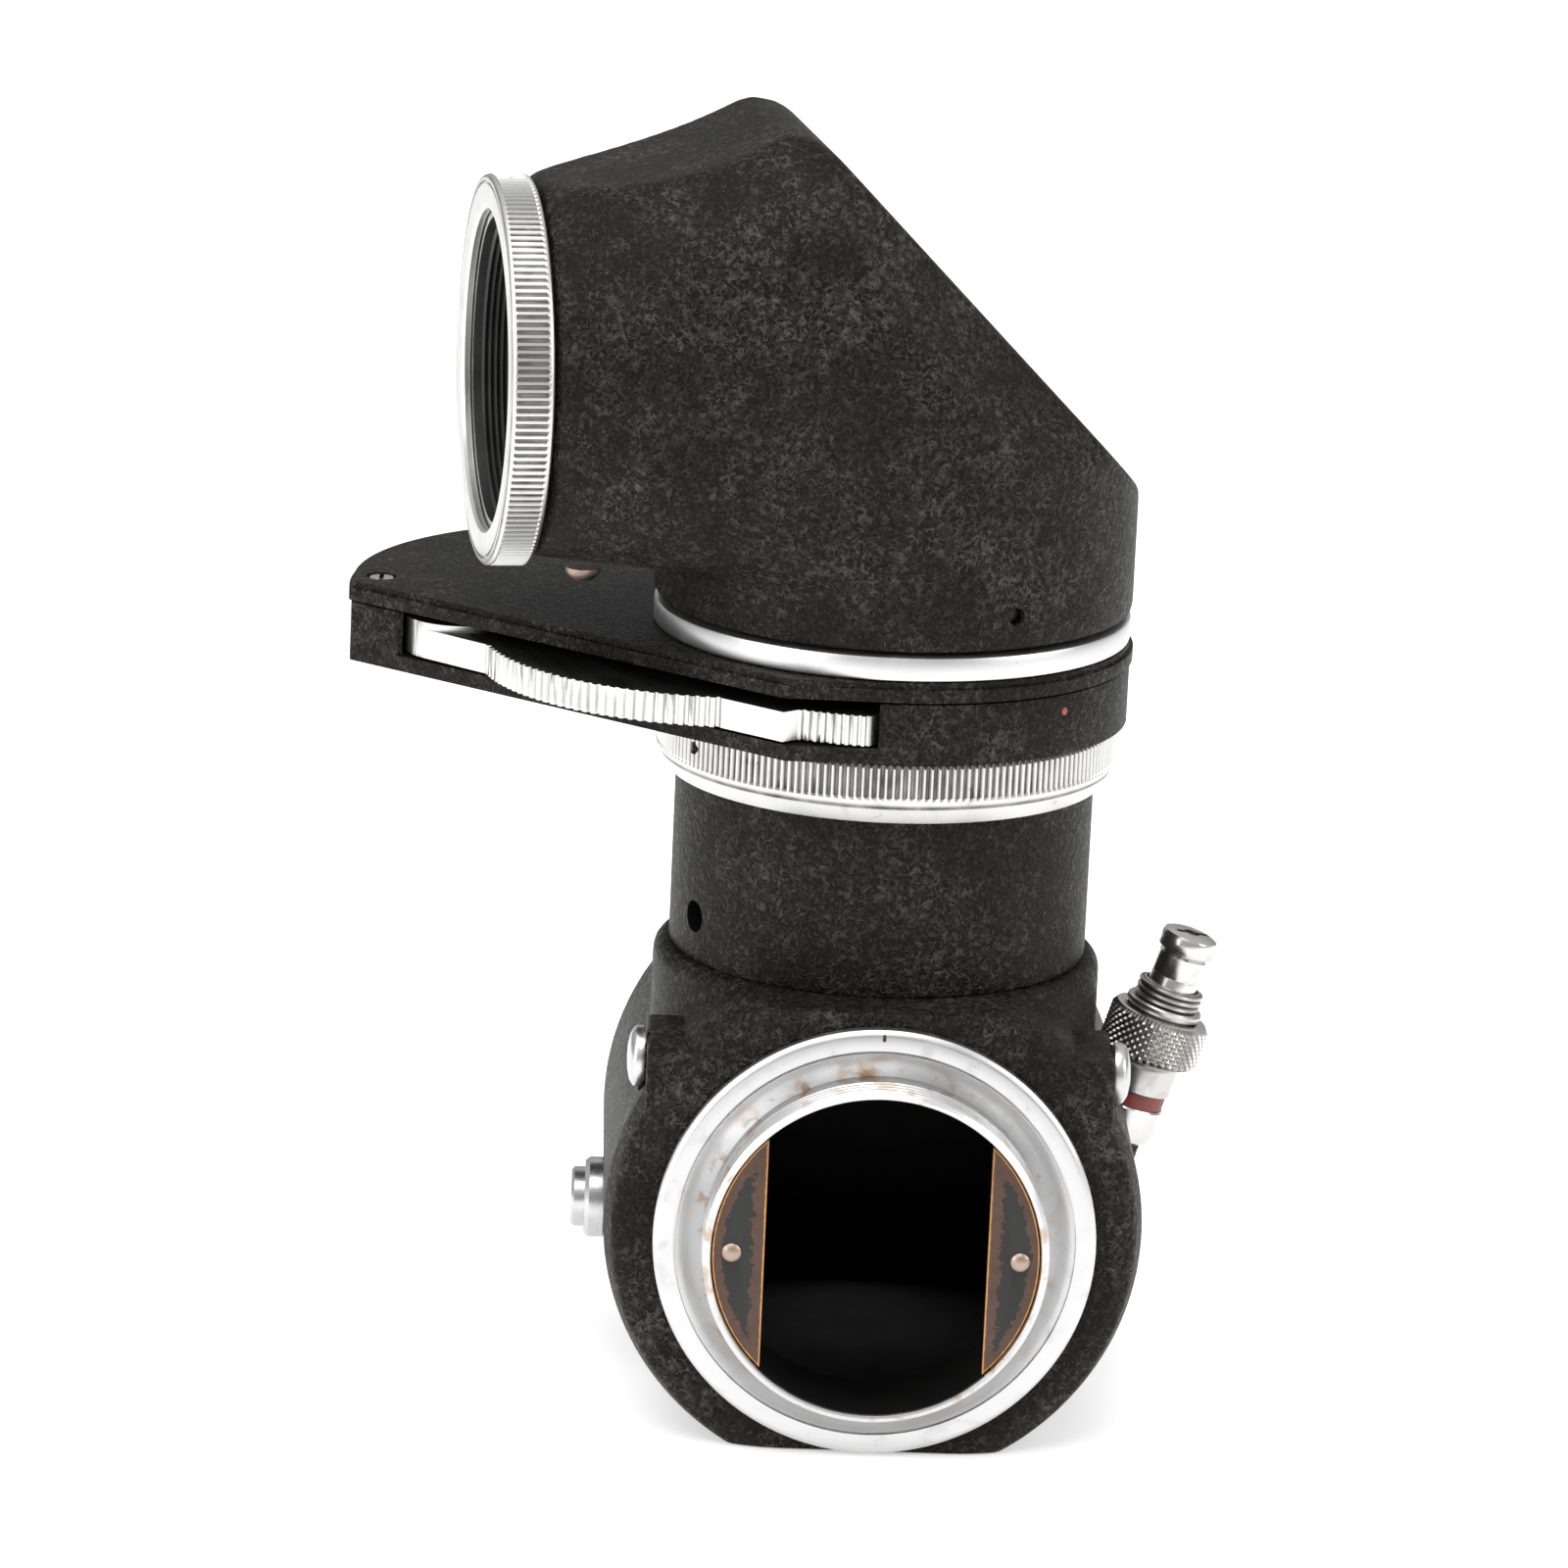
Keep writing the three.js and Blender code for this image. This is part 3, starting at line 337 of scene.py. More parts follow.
@dataclass(frozen=True)
class RubbedMask:
    """Brass mask: black paint in the middle, rubbed to brown and bare brass towards its edges."""

    name: str = "rubbed_mask"
    axis_height: float = 25.3
    gate: float = 12.5
    rim: float = 18.35
    rivet: float = 16.2

    def make(self) -> bpy.types.Material:
        """Builds the material."""
        sheet = Sheet(self.name)
        spot = sheet.place(Vector((0, 0, self.axis_height)))
        x, _, z = sheet.split(spot)
        inner = abs(x) - self.gate
        outer = self.rim - (x * x + z * z) ** 0.5
        ragged = sheet.noise(spot, 0.9, 5.0, 0.8)
        from_edge = inner.least(outer * 1.25)
        paint = (from_edge + (ragged - 0.5) * 2.6).ramp(1.35, 1.50)
        bright = 1.0 - (from_edge + (ragged - 0.5) * 0.25).ramp(0.10, 0.30)
        brown = sheet.mix(sheet.noise(spot, 1.4, 4.0), (0.045, 0.022, 0.014), (0.100, 0.050, 0.030))
        tone = sheet.mix(paint, brown, (0.013, 0.014, 0.012))
        tone = sheet.mix(bright, tone, (0.50, 0.26, 0.10))
        sheet.set(Base_Color=tone, Metallic=bright * 0.8 + 0.15, Roughness=0.52 - bright * 0.2)
        sheet.bump(paint + ragged * 0.25, 0.03)
        return sheet.material


@dataclass(frozen=True)
class PlainCoat:
    """A plain painted, blackened, felted or plated surface with a little unevenness."""

    name: str
    base: Colour
    roughness: float = 0.6
    metallic: float = 0.0
    grain: float = 0.6
    unevenness: float = 0.35
    depth: float = 0.03
    sheen: float = 0.5

    def make(self) -> bpy.types.Material:
        """Builds the material."""
        sheet = Sheet(self.name)
        spot = sheet.place()
        patch = sheet.noise(spot, self.grain * 6.0, 3.0)
        grit = sheet.noise(spot, self.grain, 2.0)
        dull = tuple(c * (1.0 - self.unevenness) for c in self.base)
        sheet.set(Base_Color=sheet.mix(patch.ramp(0.35, 0.65), dull, self.base), Metallic=self.metallic,
                  Roughness=patch * 0.16 + (self.roughness - 0.08), Specular_IOR_Level=self.sheen)
        sheet.bump(grit, self.depth, 0.7)
        return sheet.material


@dataclass(frozen=True)
class OpticalGlass:
    """Clear or ground glass."""

    name: str
    roughness: float = 0.02
    tint: Colour = (0.93, 0.97, 0.96)

    def make(self) -> bpy.types.Material:
        """Builds the material."""
        sheet = Sheet(self.name)
        dust = sheet.noise(sheet.place(), 0.8, 3.0).ramp(0.6, 0.8)
        sheet.set(Base_Color=self.tint, Roughness=dust * 0.06 + self.roughness,
                  Transmission_Weight=1.0, IOR=1.52)
        return sheet.material


class Finish(Enum):
    """The finishes that need no place of their own."""

    ENAMEL = WrinkleEnamel()
    CHROME = BrightMetal("satin_chrome")
    STEEL = BrightMetal("turned_steel", base=(0.50, 0.49, 0.47), roughness=0.30, scuff=0.9)
    INSIDE = PlainCoat("inside_black", (0.0022, 0.0022, 0.0020), 0.75, depth=0.02, sheen=0.12)
    BLACKENED = PlainCoat("blackened_metal", (0.018, 0.018, 0.017), 0.42, 0.2)
    ARM_TOP = PlainCoat("arm_black", (0.016, 0.016, 0.015), 0.35)
    MASK = RubbedMask()
    RIVET = BrightMetal("worn_rivet", base=(0.40, 0.30, 0.25), roughness=0.42, scuff=0.8, brass=0.6)
    RED = PlainCoat("index_red", (0.19, 0.028, 0.018), 0.45, unevenness=0.5)
    DOT = PlainCoat("dot_orange", (0.42, 0.10, 0.035), 0.5, unevenness=0.4)
    FELT = PlainCoat("black_felt", (0.008, 0.008, 0.008), 0.95, grain=0.25, depth=0.1, sheen=0.1)
    GLASS = OpticalGlass("clear_glass")
    GROUND = OpticalGlass("ground_glass", roughness=0.5)
    MIRROR = PlainCoat("front_silvered", (0.88, 0.89, 0.90), 0.10, 1.0, unevenness=0.02, depth=0.0005)


_MADE: dict[str, bpy.types.Material] = {}


def material(finish: object) -> bpy.types.Material:
    """The material of a finish, made once.

    Args:
        finish: a Finish or a finish dataclass.

    Returns:
        Its material.
    """
    recipe = finish.value if isinstance(finish, Finish) else finish
    if recipe.name not in _MADE:
        _MADE[recipe.name] = recipe.make()
    return _MADE[recipe.name]


# ------------------------------------------------------------------ the bench
@contextmanager
def editing(obj: bpy.types.Object) -> Iterator[bmesh.types.BMesh]:
    """Edit mode on one object, with everything in it deselected to begin with.

    Args:
        obj: the object.

    Yields:
        Its mesh, for selecting in.
    """
    bpy.ops.object.select_all(action="DESELECT")
    bpy.context.view_layer.objects.active = obj
    obj.select_set(True)
    bpy.ops.object.mode_set(mode="EDIT")
    bpy.ops.mesh.select_mode(type="VERT")
    bpy.ops.mesh.select_all(action="DESELECT")
    yield bmesh.from_edit_mesh(obj.data)
    bpy.ops.object.mode_set(mode="OBJECT")


class Workpiece:
    """One piece on the bench, in millimetres."""

    def __init__(self, obj: bpy.types.Object) -> None:
        """Takes hold of an object."""
        self.obj = obj

    @classmethod
    def ring_of(cls, points: Sequence[Vector]) -> "Workpiece":
        """A closed wire: a circle whose vertices are moved to the given points.

        Args:
            points: the points in order.

        Returns:
            The wire.
        """
        bpy.ops.object.select_all(action="DESELECT")
        bpy.ops.mesh.primitive_circle_add(vertices=len(points), radius=1.0, location=(0, 0, 0))
        wire = cls(bpy.context.object)
        for vertex, point in zip(wire.obj.data.vertices, points):
            vertex.co = point
        return wire

    @classmethod
    def turned(cls, profile: Profile, steps: int = 128, place: Matrix = Matrix()) -> "Workpiece":
        """A piece spun about its own Z from a closed profile.

        Args:
            profile: (radius, height) points in order.
            steps: sides round the piece.
            place: where it is put.

        Returns:
            The spun piece.
        """
        piece = cls.ring_of([Vector((radius, 0, height)) for radius, height in profile])
        with editing(piece.obj):
            bpy.ops.mesh.select_all(action="SELECT")
            bpy.ops.mesh.spin(steps=steps, angle=2 * math.pi, center=(0, 0, 0), axis=(0, 0, 1))
            bpy.ops.mesh.select_all(action="SELECT")
            bpy.ops.mesh.remove_doubles(threshold=1e-4)
            bpy.ops.mesh.dissolve_degenerate(threshold=1e-4)
            bpy.ops.mesh.select_all(action="SELECT")
            bpy.ops.mesh.normals_make_consistent(inside=False)
        return piece.placed(place)

    @classmethod
    def rod(cls, radius: float, low: float, high: float, place: Matrix = Matrix(),
            sides: int = 96) -> "Workpiece":
        """A plain rod along its own Z, mostly used as a cutter.

        Args:
            radius: its radius.
            low: height of its lower end.
            high: height of its upper end.
            place: where it is put.
            sides: sides round it.

        Returns:
            The rod.
        """
        bpy.ops.object.select_all(action="DESELECT")
        bpy.ops.mesh.primitive_cylinder_add(vertices=sides, radius=radius, depth=high - low,
                                            location=(0, 0, (low + high) / 2))
        piece = cls(bpy.context.object)
        return piece.settled().placed(place)

    @classmethod
    def block(cls, low: Sequence[float], high: Sequence[float], place: Matrix = Matrix()) -> "Workpiece":
        """A plain block between two corners.

        Args:
            low: its lowest corner.
            high: its highest corner.
            place: where it is put.

        Returns:
            The block.
        """
        bpy.ops.object.select_all(action="DESELECT")
        middle = [(a + b) / 2 for a, b in zip(low, high)]
        bpy.ops.mesh.primitive_cube_add(size=1.0, location=middle)
        piece = cls(bpy.context.object)
        piece.obj.scale = [b - a for a, b in zip(low, high)]
        return piece.settled().placed(place)

    @classmethod
    def slab(cls, outline: Sequence[tuple[float, float]], low: float, high: float,
             place: Matrix = Matrix()) -> "Workpiece":
        """A flat piece: an outline that is filled and extruded upwards.

        Args:
            outline: (x, y) points in order.
            low: height of its underside.
            high: height of its top.
            place: where it is put.

        Returns:
            The slab.
        """
        piece = cls.ring_of([Vector((x, y, low)) for x, y in outline])
        with editing(piece.obj):
            bpy.ops.mesh.select_all(action="SELECT")
            bpy.ops.mesh.edge_face_add()
            bpy.ops.mesh.extrude_region_move(TRANSFORM_OT_translate={"value": (0, 0, high - low)})
            bpy.ops.mesh.select_all(action="SELECT")
            bpy.ops.mesh.normals_make_consistent(inside=False)
        return piece.placed(place)

    @classmethod
    def hull(cls, rings: Sequence["Workpiece"]) -> "Workpiece":
        """The convex skin over several pieces, which are used up.

        Args:
            rings: the pieces.

        Returns:
            The skin.
        """
        first, *rest = rings
        bpy.ops.object.select_all(action="DESELECT")
        for ring in rings:
            ring.obj.select_set(True)
        bpy.context.view_layer.objects.active = first.obj
        bpy.ops.object.join()
        with editing(first.obj):
            bpy.ops.mesh.select_all(action="SELECT")
            bpy.ops.mesh.convex_hull()
            bpy.ops.mesh.select_all(action="SELECT")
            bpy.ops.mesh.normals_make_consistent(inside=False)
        return first

    def settled(self) -> "Workpiece":
        """Moves the object's own place into its mesh."""
        self.obj.data.transform(self.obj.matrix_basis)
        self.obj.matrix_basis = Matrix()
        return self

    def placed(self, place: Matrix) -> "Workpiece":
        """Moves the mesh to a place."""
        self.obj.data.transform(place)
        return self

    def modified(self, kind: str, **settings: object) -> "Workpiece":
        """Adds a modifier and applies it.

        Args:
            kind: the modifier's type.
            **settings: its properties.

        Returns:
            The same piece.
        """
        bpy.ops.object.select_all(action="DESELECT")
        bpy.context.view_layer.objects.active = self.obj
        self.obj.select_set(True)
        modifier = self.obj.modifiers.new(kind.lower(), kind)
        for key, value in settings.items():
            setattr(modifier, key, value)
        bpy.ops.object.modifier_apply(modifier=modifier.name)
        return self

    def _combined(self, operation: str, others: Sequence["Workpiece"]) -> "Workpiece":
        """Joins, cuts or crosses with other pieces, which are used up.

        Args:
            operation: the Boolean operation.
            others: the other pieces.

        Returns:
            The same piece.
        """
        for other in others:
            self.modified("BOOLEAN", operation=operation, object=other.obj, solver="EXACT")
            bpy.data.objects.remove(other.obj)
        return self

    def cut(self, *others: "Workpiece") -> "Workpiece":
        """Cuts other pieces out of this one."""
        return self._combined("DIFFERENCE", others)

    def joined(self, *others: "Workpiece") -> "Workpiece":
        """Joins other pieces to this one."""
        return self._combined("UNION", others)

    def crossed(self, *others: "Workpiece") -> "Workpiece":
        """Keeps only what this piece shares with others."""
        return self._combined("INTERSECT", others)

    def bevelled(self, width: float, segments: int = 2, angle: float = 35.0) -> "Workpiece":
        """Rounds the edges that are sharper than an angle."""
        return self.modified("BEVEL", width=width, segments=segments, limit_method="ANGLE",
                             angle_limit=math.radians(angle), harden_normals=False)

    def cast(self, grain: float, passes: int) -> "Workpiece":
        """Melts the piece into one skin and rounds every edge and corner, as a casting's are.

        Args:
            grain: the skin's mesh size.
            passes: how far it is rounded.

        Returns:
            The same piece.
        """
        self.modified("REMESH", mode="VOXEL", voxel_size=grain)
        return self.modified("SMOOTH", factor=0.5, iterations=passes)

    def bisected(self, point: Vector, normal: Vector) -> "Workpiece":
        """Cuts away what lies beyond a plane and closes the cut.

        Args:
            point: a point of the plane.
            normal: points to the side that is cut away.

        Returns:
            The same piece.
        """
        with editing(self.obj):
            bpy.ops.mesh.select_all(action="SELECT")
            bpy.ops.mesh.bisect(plane_co=point, plane_no=normal, use_fill=True, clear_outer=True)
        return self

    def scaled_where(self, pick: Callable[[Vector], bool], factor: Sequence[float]) -> "Workpiece":
        """Scales the picked vertices about the piece's own axis.

        Args:
            pick: says which vertices, by their places.
            factor: the scale along X, Y and Z.

        Returns:
            The same piece.
        """
        with editing(self.obj) as mesh:
            for vertex in mesh.verts:
                vertex.select = pick(vertex.co)
            mesh.select_flush_mode()
            bmesh.update_edit_mesh(self.obj.data)
            bpy.ops.transform.resize(value=factor, center_override=(0, 0, 0))
        return self

    def handed_over(self, name: str, body: str, slot: str, finish: object, replaces: Sequence[str] = (),
                    inside: object = None, pick: Callable[[Vector, Vector], bool] | None = None,
                    angle: float = 35.0) -> bpy.types.Object:
        """Finishes the piece: metres, shading, materials, and its place on a body.

        Args:
            name: the piece's name.
            body: the body it rides on.
            slot: the record's material slot; not used.
            finish: its finish.
            replaces: the CAD nodes it stands for.
            inside: a second finish for the faces that pick chooses.
            pick: says by centre and normal which faces take the second finish.
            angle: edges sharper than this stay sharp.

        Returns:
            The finished object.
        """
        obj = self.obj
        obj.data.materials.clear()
        obj.data.materials.append(material(finish))
        if inside is not None:
            obj.data.materials.append(material(inside))
            for polygon in obj.data.polygons:
                polygon.material_index = int(pick(polygon.center, polygon.normal))
        obj.data.transform(Matrix.Scale(MM, 4))
        obj.name = name
        obj.data.name = name
        bpy.ops.object.select_all(action="DESELECT")
        bpy.context.view_layer.objects.active = obj
        obj.select_set(True)
        bpy.ops.object.shade_smooth_by_angle(angle=math.radians(angle))
        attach(obj, body)
        if replaces:
            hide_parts(*replaces)
        LOG.info("%s rides on %s, %d faces", name, body, len(obj.data.polygons))
        return obj


def coin_edged(profile: Profile, ribs: int, depth: float, band: tuple[float, float], rim: float) -> Workpiece:
    """A turned ring whose rim has straight ribs between two heights.

    Args:
        profile: the ring's section, with points of its own where the ribs begin and end.
        ribs: ribs round the rim.
        depth: how deep the cuts are.
        band: the heights between which the cuts lie.
        rim: the radius beyond which points belong to the rim.

    Returns:
        The ribbed ring, about its own Z.
    """
    ring = Workpiece.turned(profile, ribs * 4)
    step = math.tau / (ribs * 4)

    def in_cut(point: Vector) -> bool:
        """Whether a point of the rim lies in a cut."""
        reach = math.hypot(point.x, point.y)
        column = round(math.atan2(point.y, point.x) / step) % 4
        return reach > rim and band[0] <= point.z <= band[1] and column in (1, 2)

    outer = max(radius for radius, _ in profile)
    factor = (outer - depth) / outer
    return ring.scaled_where(in_cut, (factor, factor, 1.0))


# ------------------------------------------------------------------ sub-assemblies
@dataclass
class MirrorBox:
    """The casting, its hinge screws, the catch button's collar and the lens mount."""

    body: str = "housing"
    front_round: float = 4.6
    ear_half: float = 26.4
    ear_top: float = 46.4
    ear_rear: float = -14.5
    chamber_half: float = 18.6
    floor: float = 3.2
    skin: float = 0.55
    rounding: int = 4

    def build(self) -> None:
        """Builds and dresses the sub-assembly."""
        self.casting()
        self.bearing_screws()
        self.lens_mount()
        self.button_collar()

    def casting(self) -> None:
        """The enamelled casting with its chamber and bores."""
        low, high = box_mm("mirror_box_casting")
        axis_point, _ = joint_line("camera_mount_turn")
        lens_axis = along(Vector((0, 0, axis_point.z)), Y_AXIS)
        radius = -low.x
        collar_radius = radius - 4.8
        front, rear, seam = low.y, high.y, high.z
        drum = Workpiece.turned([
            (0, front), (radius - 3.0, front), (radius - 1.0, front + 1.0), (radius, front + self.front_round),
            (radius, rear - 4.0), (radius - 1.4, rear), (0, rear)], 144, lens_axis)
        collar = Workpiece.turned([
            (0, axis_point.z), (collar_radius, axis_point.z), (collar_radius, seam - 1.2),
            (collar_radius - 0.8, seam - 0.1), (0, seam - 0.1)], 144)
        ears = Workpiece.block((-self.ear_half, front + 1.0, 30.0), (self.ear_half, self.ear_rear, self.ear_top))
        line, direction = joint_line("lock_ring_turn")
        self.release = along(line - direction * 7.6, direction)
        boss = Workpiece.rod(3.1, -12.0, -5.7, self.release)
        drum.joined(collar, boss)
        drum.bisected(Vector((0, 0, seam)), Z_AXIS)
        drum.cast(self.skin, self.rounding)
        drum.bisected(Vector((0, 0, 0.0)), -Z_AXIS)
        drum.joined(ears.bevelled(0.7, 3))

        chamber = Workpiece.block((-self.chamber_half, -23.6, self.floor), (self.chamber_half, rear - 3.0, 47.0))
        chamber.joined(
            Workpiece.rod(23.2, 46.9, seam + 2),
            Workpiece.rod(21.3, front - 3, -22.6, lens_axis),
            Workpiece.rod(23.4, -25.7, -23.5, lens_axis),
            Workpiece.rod(19.8, rear - 4, rear + 3, lens_axis),
            Workpiece.block((-22.4, -24.0, 37.5), (22.4, -16.1, 45.7)))
        hinge_point, hinge_axis = joint_line("mirror_swing")
        hinge = along(hinge_point, hinge_axis)
        button = box_mm("button_collar")
        button_axis = along(Vector((0, 0, (button[0].z + button[1].z) / 2)), -X_AXIS)
        drum.cut(
            chamber,
            Workpiece.rod(1.8, -30, 30, hinge, 32),
            Workpiece.rod(4.6, -5.7, 8.0, self.release, 64),
            Workpiece.rod(3.9, self.ear_half, self.ear_half + 5, hinge, 64),
            Workpiece.rod(3.9, -self.ear_half - 5, -self.ear_half, hinge, 64),
            Workpiece.rod(2.1, -17.2, 0.0, self.release, 32),
            Workpiece.rod(3.85, 26.4, 34.0, button_axis, 64),
            Workpiece.rod(1.6, 17.0, 27.0, button_axis, 32),
            Workpiece.rod(5.2, -button[1].x - 0.3, 36.0, button_axis, 64))

        def inner(point: Vector, normal: Vector) -> bool:
            """Whether a face belongs to the chamber or a throat."""
            reach = math.hypot(point.x, point.z - axis_point.z)
            in_chamber = abs(point.x) < 18.7 and front + 4 < point.y < rear - 2.9 and 3.1 < point.z < 47.1
            return in_chamber or (reach < 23.5 and point.y < -22.0) or (reach < 19.9 and point.y > 20)

        drum.handed_over("casting_skin", self.body, "enamel", Finish.ENAMEL, ["mirror_box_casting"],
                         Finish.INSIDE, inner)

    def bearing_screws(self) -> None:
        """The two domed screws at the ends of the mirror shaft."""
        hinge_point, _ = joint_line("mirror_swing")
        for word, side in (("left", -1), ("right", 1)):
            name = f"mirror_bearing_screw_{word}"
            place = along(hinge_point, X_AXIS * side)
            ear = self.ear_half
            head = Workpiece.turned([
                (0, 23.8), (1.45, 23.8), (1.45, ear + 0.2), (3.5, ear + 0.2), (3.5, ear + 1.1), (3.3, ear + 1.45),
                (2.6, ear + 1.85), (1.4, ear + 2.1), (0, ear + 2.18)], 64, place)
            head.cut(Workpiece.block((-5, -0.4, ear + 1.35), (5, 0.4, ear + 4), place))
            head.bevelled(0.06)
            head.handed_over(f"hinge_screw_{word}", self.body, "chrome", Finish.CHROME, [name])

    def lens_mount(self) -> None:
        """The lens-side ring with its thread and four screws."""
        low, high = box_mm("lens_mount_ring")
        axis_point, _ = joint_line("camera_mount_turn")
        place = along(Vector((0, 0, axis_point.z)), Y_AXIS)
        radius = high.x
        bore = 19.5
        threads = [(bore + (0.32 if i % 2 else 0.0), high.y - 0.7 - i * 0.33) for i in range(10)]
        ring = Workpiece.turned([
            (bore, low.y), (radius, low.y), (radius, high.y - 0.9), (radius - 0.25, high.y - 0.3),
            (radius - 0.9, high.y), (bore + 0.6, high.y), *threads], 144, place)
        screws = [box_mm(f"lens_mount_screw_{i}") for i in range(1, 5)]
        centres = [(a + b) / 2 for a, b in screws]
        ring.cut(*(Workpiece.rod(1.95, high.y - 1.7, high.y + 2,
                                 along(Vector((c.x, 0, c.z)), Y_AXIS), 32) for c in centres))
        ring.cut(*(Workpiece.rod(1.2, low.y - 1, high.y, along(Vector((c.x, 0, c.z)), Y_AXIS), 24)
                   for c in centres))
        finish = BrightMetal("lens_mount_plate", centre=(0, 0, axis_point.z), turn=(-math.pi / 2, 0, 0),
                             brass=0.3)
        ring.handed_over("lens_flange", self.body, "chrome", finish, ["lens_mount_ring"])
        for i, c in enumerate(centres, start=1):
            spot = along(Vector((c.x, 0, c.z)), Y_AXIS)
            screw = Workpiece.turned([
                (0, low.y - 4.2), (0.9, low.y - 4.2), (0.9, high.y - 1.4), (1.65, high.y - 1.4),
                (1.65, high.y - 0.45), (1.45, high.y - 0.2), (0, high.y - 0.2)], 32, spot)
            screw.cut(Workpiece.block((-3, -0.22, high.y - 0.75), (3, 0.22, high.y + 1),
                                      spot @ Matrix.Rotation(0.7 * i, 4, "Z")))
            screw.handed_over(f"flange_screw_{i}", self.body, "steel", Finish.STEEL, [f"lens_mount_screw_{i}"])

    def button_collar(self) -> None:
        """The bright collar round the mirror catch button."""
        low, high = box_mm("button_collar")
        place = along(Vector((0, 0, (low.z + high.z) / 2)), -X_AXIS)
        radius = (high.z - low.z) / 2
        seat, face = -high.x, -low.x
        collar = Workpiece.turned([
            (3.85, seat), (radius - 0.3, seat), (radius, seat + 0.3), (radius, face - 0.5), (radius - 0.4, face),
            (3.95, face), (3.85, face - 0.1)], 72, place)
        collar.cut(Workpiece.block((-0.45, 3.4, face - 0.7), (0.45, 6.0, face + 1), place))
        collar.handed_over("catch_collar", self.body, "chrome", Finish.CHROME, ["button_collar"])


@dataclass
class CameraMount:
    """The turning camera flange with its screw collar, masks and rivets."""

    body: str = "camera_mount"
    thread: float = 19.5
    throat: float = 18.5
    groove: float = 22.55
    gate: float = 12.5

    def build(self) -> None:
        """Builds and dresses the sub-assembly."""
        low, high = box_mm("camera_mount_ring")
        self.tip = low.y
        self.rear = high.y
        self.radius = high.x
        point, _ = joint_line("camera_mount_turn")
        self.plane = point.y
        self.axis_height = point.z
        self.place = along(Vector((0, 0, point.z)), Y_AXIS)
        self.ring()
        self.masks()

    def crescent(self, radius: float, front: float, rear: float, inner: float, side: int) -> Workpiece:
        """The part of a disc outside the gate, on one side.

        Args:
            radius: the disc's radius.
            front: where it starts along the axis.
            rear: where it ends.
            inner: half the width of the gate.
            side: -1 for left, 1 for right.

        Returns:
            The crescent.
        """
        disc = Workpiece.rod(radius, front, rear, self.place, 160)
        edges = (inner, 40) if side > 0 else (-40, -inner)
        return disc.crossed(Workpiece.block((edges[0], front - 1, -10), (edges[1], rear + 1, 60)))

    def ring(self) -> None:
        """Flange, groove, relief and threaded collar in one turned piece, with the ledges for the masks."""
        thread, plane, tip = self.thread, self.plane, self.tip
        ridges = []
        for i in range(4):
            foot = tip + 0.75 + i * 0.977
            ridges += [(thread - 0.22, foot), (thread, foot + 0.3), (thread, foot + 0.55),
                       (thread - 0.22, foot + 0.85)]
        profile = [
            (self.throat, self.rear), (self.throat, tip + 0.35), (self.throat + 0.12, tip + 0.1),
            (self.throat + 0.3, tip), (thread - 0.45, tip), (thread - 0.1, tip + 0.3), *ridges,
            (thread - 0.1, plane + 0.1), (thread - 0.1, plane + 1.3), (thread + 0.4, plane + 1.15),
            (20.8, plane + 0.75), (21.6, plane + 0.3), (22.2, plane + 0.1), (self.groove - 0.14, plane + 0.05),
            (self.groove - 0.1, plane + 0.55), (self.groove + 0.1, plane + 0.55), (self.groove + 0.14, plane),
            (self.radius - 0.75, plane), (self.radius - 0.3, plane + 0.15), (self.radius, plane + 0.55),
            (self.radius, plane + 1.7), (21.0, plane + 1.7), (21.0, self.rear)]
        ring = Workpiece.turned(profile, 192, self.place)
        mask_low, mask_high = box_mm("mask_left")
        ledges = [self.crescent(self.throat + 0.2, mask_high.y + 0.15, mask_high.y + 2, 13.4, side)
                  for side in (-1, 1)]
        ring.joined(*ledges)

        def inner(point: Vector, normal: Vector) -> bool:
            """Whether a face lies inside the throat, behind the masks."""
            reach = math.hypot(point.x, point.z - self.axis_height)
            return reach < self.throat + 0.1 and point.y > mask_high.y - 0.2

        finish = BrightMetal("camera_flange", base=(0.62, 0.62, 0.62), roughness=0.34,
                             centre=(0, 0, self.axis_height), turn=(-math.pi / 2, 0, 0),
                             brass=0.8, brass_reach=20.3, scuff=0.6)
        ring.handed_over("camera_flange", self.body, "chrome", finish, ["camera_mount_ring"],
                         Finish.INSIDE, inner)
        top = self.axis_height + self.radius
        line = Workpiece.block((-0.2, plane - 0.03, top - 1.2), (0.2, plane + 1.2, top + 0.03))
        line.bisected(Vector((0, plane, top - 0.55)), Vector((0, -1, 1)))
        line.handed_over("mount_index_line", self.body, "black_metal", Finish.BLACKENED)

    def masks(self) -> None:
        """The two crescent masks and the rivets that hold them."""
        low, high = box_mm("mask_left")
        for word, side in (("left", -1), ("right", 1)):
            centre = (box_mm(f"mask_rivet_{word}")[0] + box_mm(f"mask_rivet_{word}")[1]) / 2
            spot = along(Vector((centre.x, 0, centre.z)), Y_AXIS)
            mask = self.crescent(self.throat - 0.12, low.y, high.y, self.gate, side)
            mask.cut(Workpiece.rod(0.95, low.y - 2, high.y + 2, spot, 32)).bevelled(0.12)
            mask.handed_over(f"gate_mask_{word}", self.body, "worn_brass", Finish.MASK, [f"mask_{word}"])
            front = low.y - 0.45
            rivet = Workpiece.turned([
                (0, front), (0.5, front + 0.06), (0.85, front + 0.2), (1.08, front + 0.42), (0.7, front + 0.43),
                (0.65, high.y + 1.6), (0, high.y + 1.6)], 40, spot)
            rivet.handed_over(f"gate_rivet_{word}", self.body, "worn_brass", Finish.RIVET, [f"mask_rivet_{word}"])


